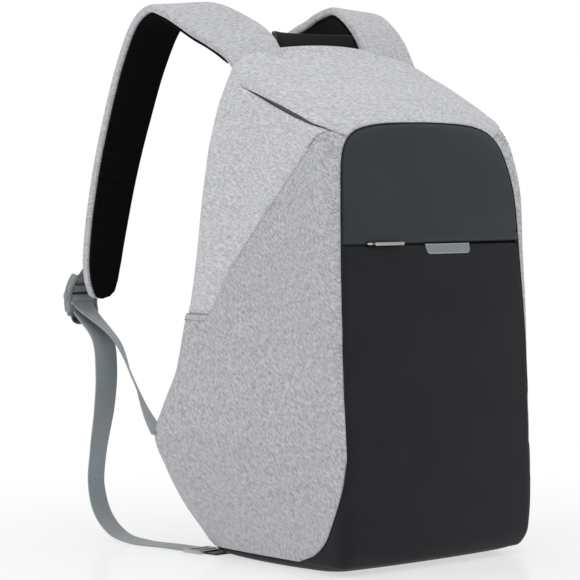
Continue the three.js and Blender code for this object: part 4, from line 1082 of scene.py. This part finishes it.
# %% Front tag
TAG_LEFT, TAG_RIGHT, TAG_HEIGHT, TAG_CORNER, TAG_SLANT = -18.0, 38.5, 8.6, 3.2, 2.2
RIM_WIDTH, RIM_HEIGHT = 0.9, 0.3
bm = bmesh.new()
bmesh.ops.create_grid(bm, x_segments=76, y_segments=16, size=0.5)
inward = {}
for vert in bm.verts:
    share = vert.co.x + 0.5
    drop = (0.5 - vert.co.y) * TAG_HEIGHT
    corner = max(0, drop - (TAG_HEIGHT - TAG_CORNER))
    round_off = TAG_CORNER - math.sqrt(max(0.0, TAG_CORNER ** 2 - corner ** 2))
    left = TAG_LEFT + TAG_SLANT * (drop / TAG_HEIGHT) + round_off
    right = TAG_RIGHT - round_off
    x = left + share * (right - left)
    z = ZIP_HEIGHT - ZIP_OPENING / 2 + 0.6 - drop
    hit = apron_surface.ray_cast(Vector((x, -300, min(z, ZIP_HEIGHT - 3))), Vector((0, 1, 0)))[0]
    inward[vert] = min(drop, TAG_HEIGHT - drop, x - left, right - x)
    raised = RIM_HEIGHT if inward[vert] < RIM_WIDTH else 0
    vert.co = (x, hit.y - 0.2 - raised, z)
for face in bm.faces:
    face.material_index = 1 if min(inward[vert] for vert in face.verts) < RIM_WIDTH * 0.7 else 0
bmesh.ops.recalc_face_normals(bm, faces=bm.faces)
if sum(face.normal.y for face in bm.faces) > 0:
    bmesh.ops.reverse_faces(bm, faces=bm.faces)
tag = thicken(dress("tag_front", bm, [TAG_RUBBER, TAG_EDGE], ["front_tag"]), 0.9)
tag.modifiers["cloth thickness"].use_even_offset = False

# %% [markdown]
# ## Floor and light
# The photograph is a catalogue shot: a white sweep, one broad soft light from above and in front, a weaker one
# from the left, and so much fill from all round that shadows are faint. The floor is white and a little glossy,
# so the bag stands on a soft reflection, which fades out further away.

# %% Floor and light
bm = bmesh.new()
bmesh.ops.create_grid(bm, x_segments=1, y_segments=1, size=6)
floor_mesh = bpy.data.meshes.new("floor")
bm.to_mesh(floor_mesh)
bm.free()
floor = bpy.data.objects.new("floor", floor_mesh)
bpy.context.scene.collection.objects.link(floor)
# Painted glow: next to the bag six tenths of the floor is a white emitter, and further out all of it is, so it
# lights the bag from below.
floor_material, tree, shader = new_material("white_floor_painted_glow", Roughness=0.22,
                                            Base_Color=linear("fcfcfc"))
away = add(tree, "VectorMath", {0: add(tree, "TexCoord").outputs["Object"]}, operation="LENGTH")
fade = add(tree, "MapRange", {"Value": away.outputs["Value"], "From Min": 0.12, "From Max": 0.75,
                             "To Min": 0.6, "To Max": 1.0}, interpolation_type="SMOOTHSTEP")
glow = add(tree, "Emission", {"Strength": 1.0})
mixed = add(tree, "MixShader", {"Fac": fade.outputs["Result"], 1: shader.outputs["BSDF"],
                                2: glow.outputs["Emission"]})
tree.links.new(mixed.outputs["Shader"], tree.nodes["Material Output"].inputs["Surface"])
floor_mesh.materials.append(floor_material)

world = bpy.data.worlds.new("white studio")
world.use_nodes = True
tree = world.node_tree
seen = tree.nodes["Background"]
seen.inputs["Color"].default_value = (1, 1, 1, 1)
rise = add(tree, "SeparateXYZ", {"Vector": add(tree, "TexCoord").outputs["Generated"]}).outputs["Z"]
sky = add(tree, "MapRange", {"Value": rise, "From Min": -0.2, "From Max": 0.9, "To Min": 0.5, "To Max": 0.95})
lit = add(tree, "Background", {"Color": (1, 1, 1, 1), "Strength": sky.outputs["Result"]})
mixed = add(tree, "MixShader", {"Fac": add(tree, "LightPath").outputs["Is Camera Ray"],
                                1: lit.outputs["Background"], 2: seen.outputs["Background"]})
tree.links.new(mixed.outputs["Shader"], tree.nodes["World Output"].inputs["Surface"])
bpy.context.scene.world = world
bpy.context.scene.view_settings.view_transform = "Standard"


def soft_light(name, place, aim, size, power):
    data = bpy.data.lights.new(name, "AREA")
    data.shape = "RECTANGLE"
    data.size, data.size_y = size
    data.energy = power
    lamp = bpy.data.objects.new(name, data)
    lamp.location = place
    lamp.rotation_euler = (Vector(aim) - Vector(place)).to_track_quat("-Z", "Y").to_euler()
    bpy.context.scene.collection.objects.link(lamp)


soft_light("top_softbox", (-0.6, -0.7, 2.0), (0, 0, 0.25), (1.8, 1.8), 9)
soft_light("left_softbox", (-2.2, 0.4, 1.0), (0, 0, 0.25), (1.2, 1.6), 4)
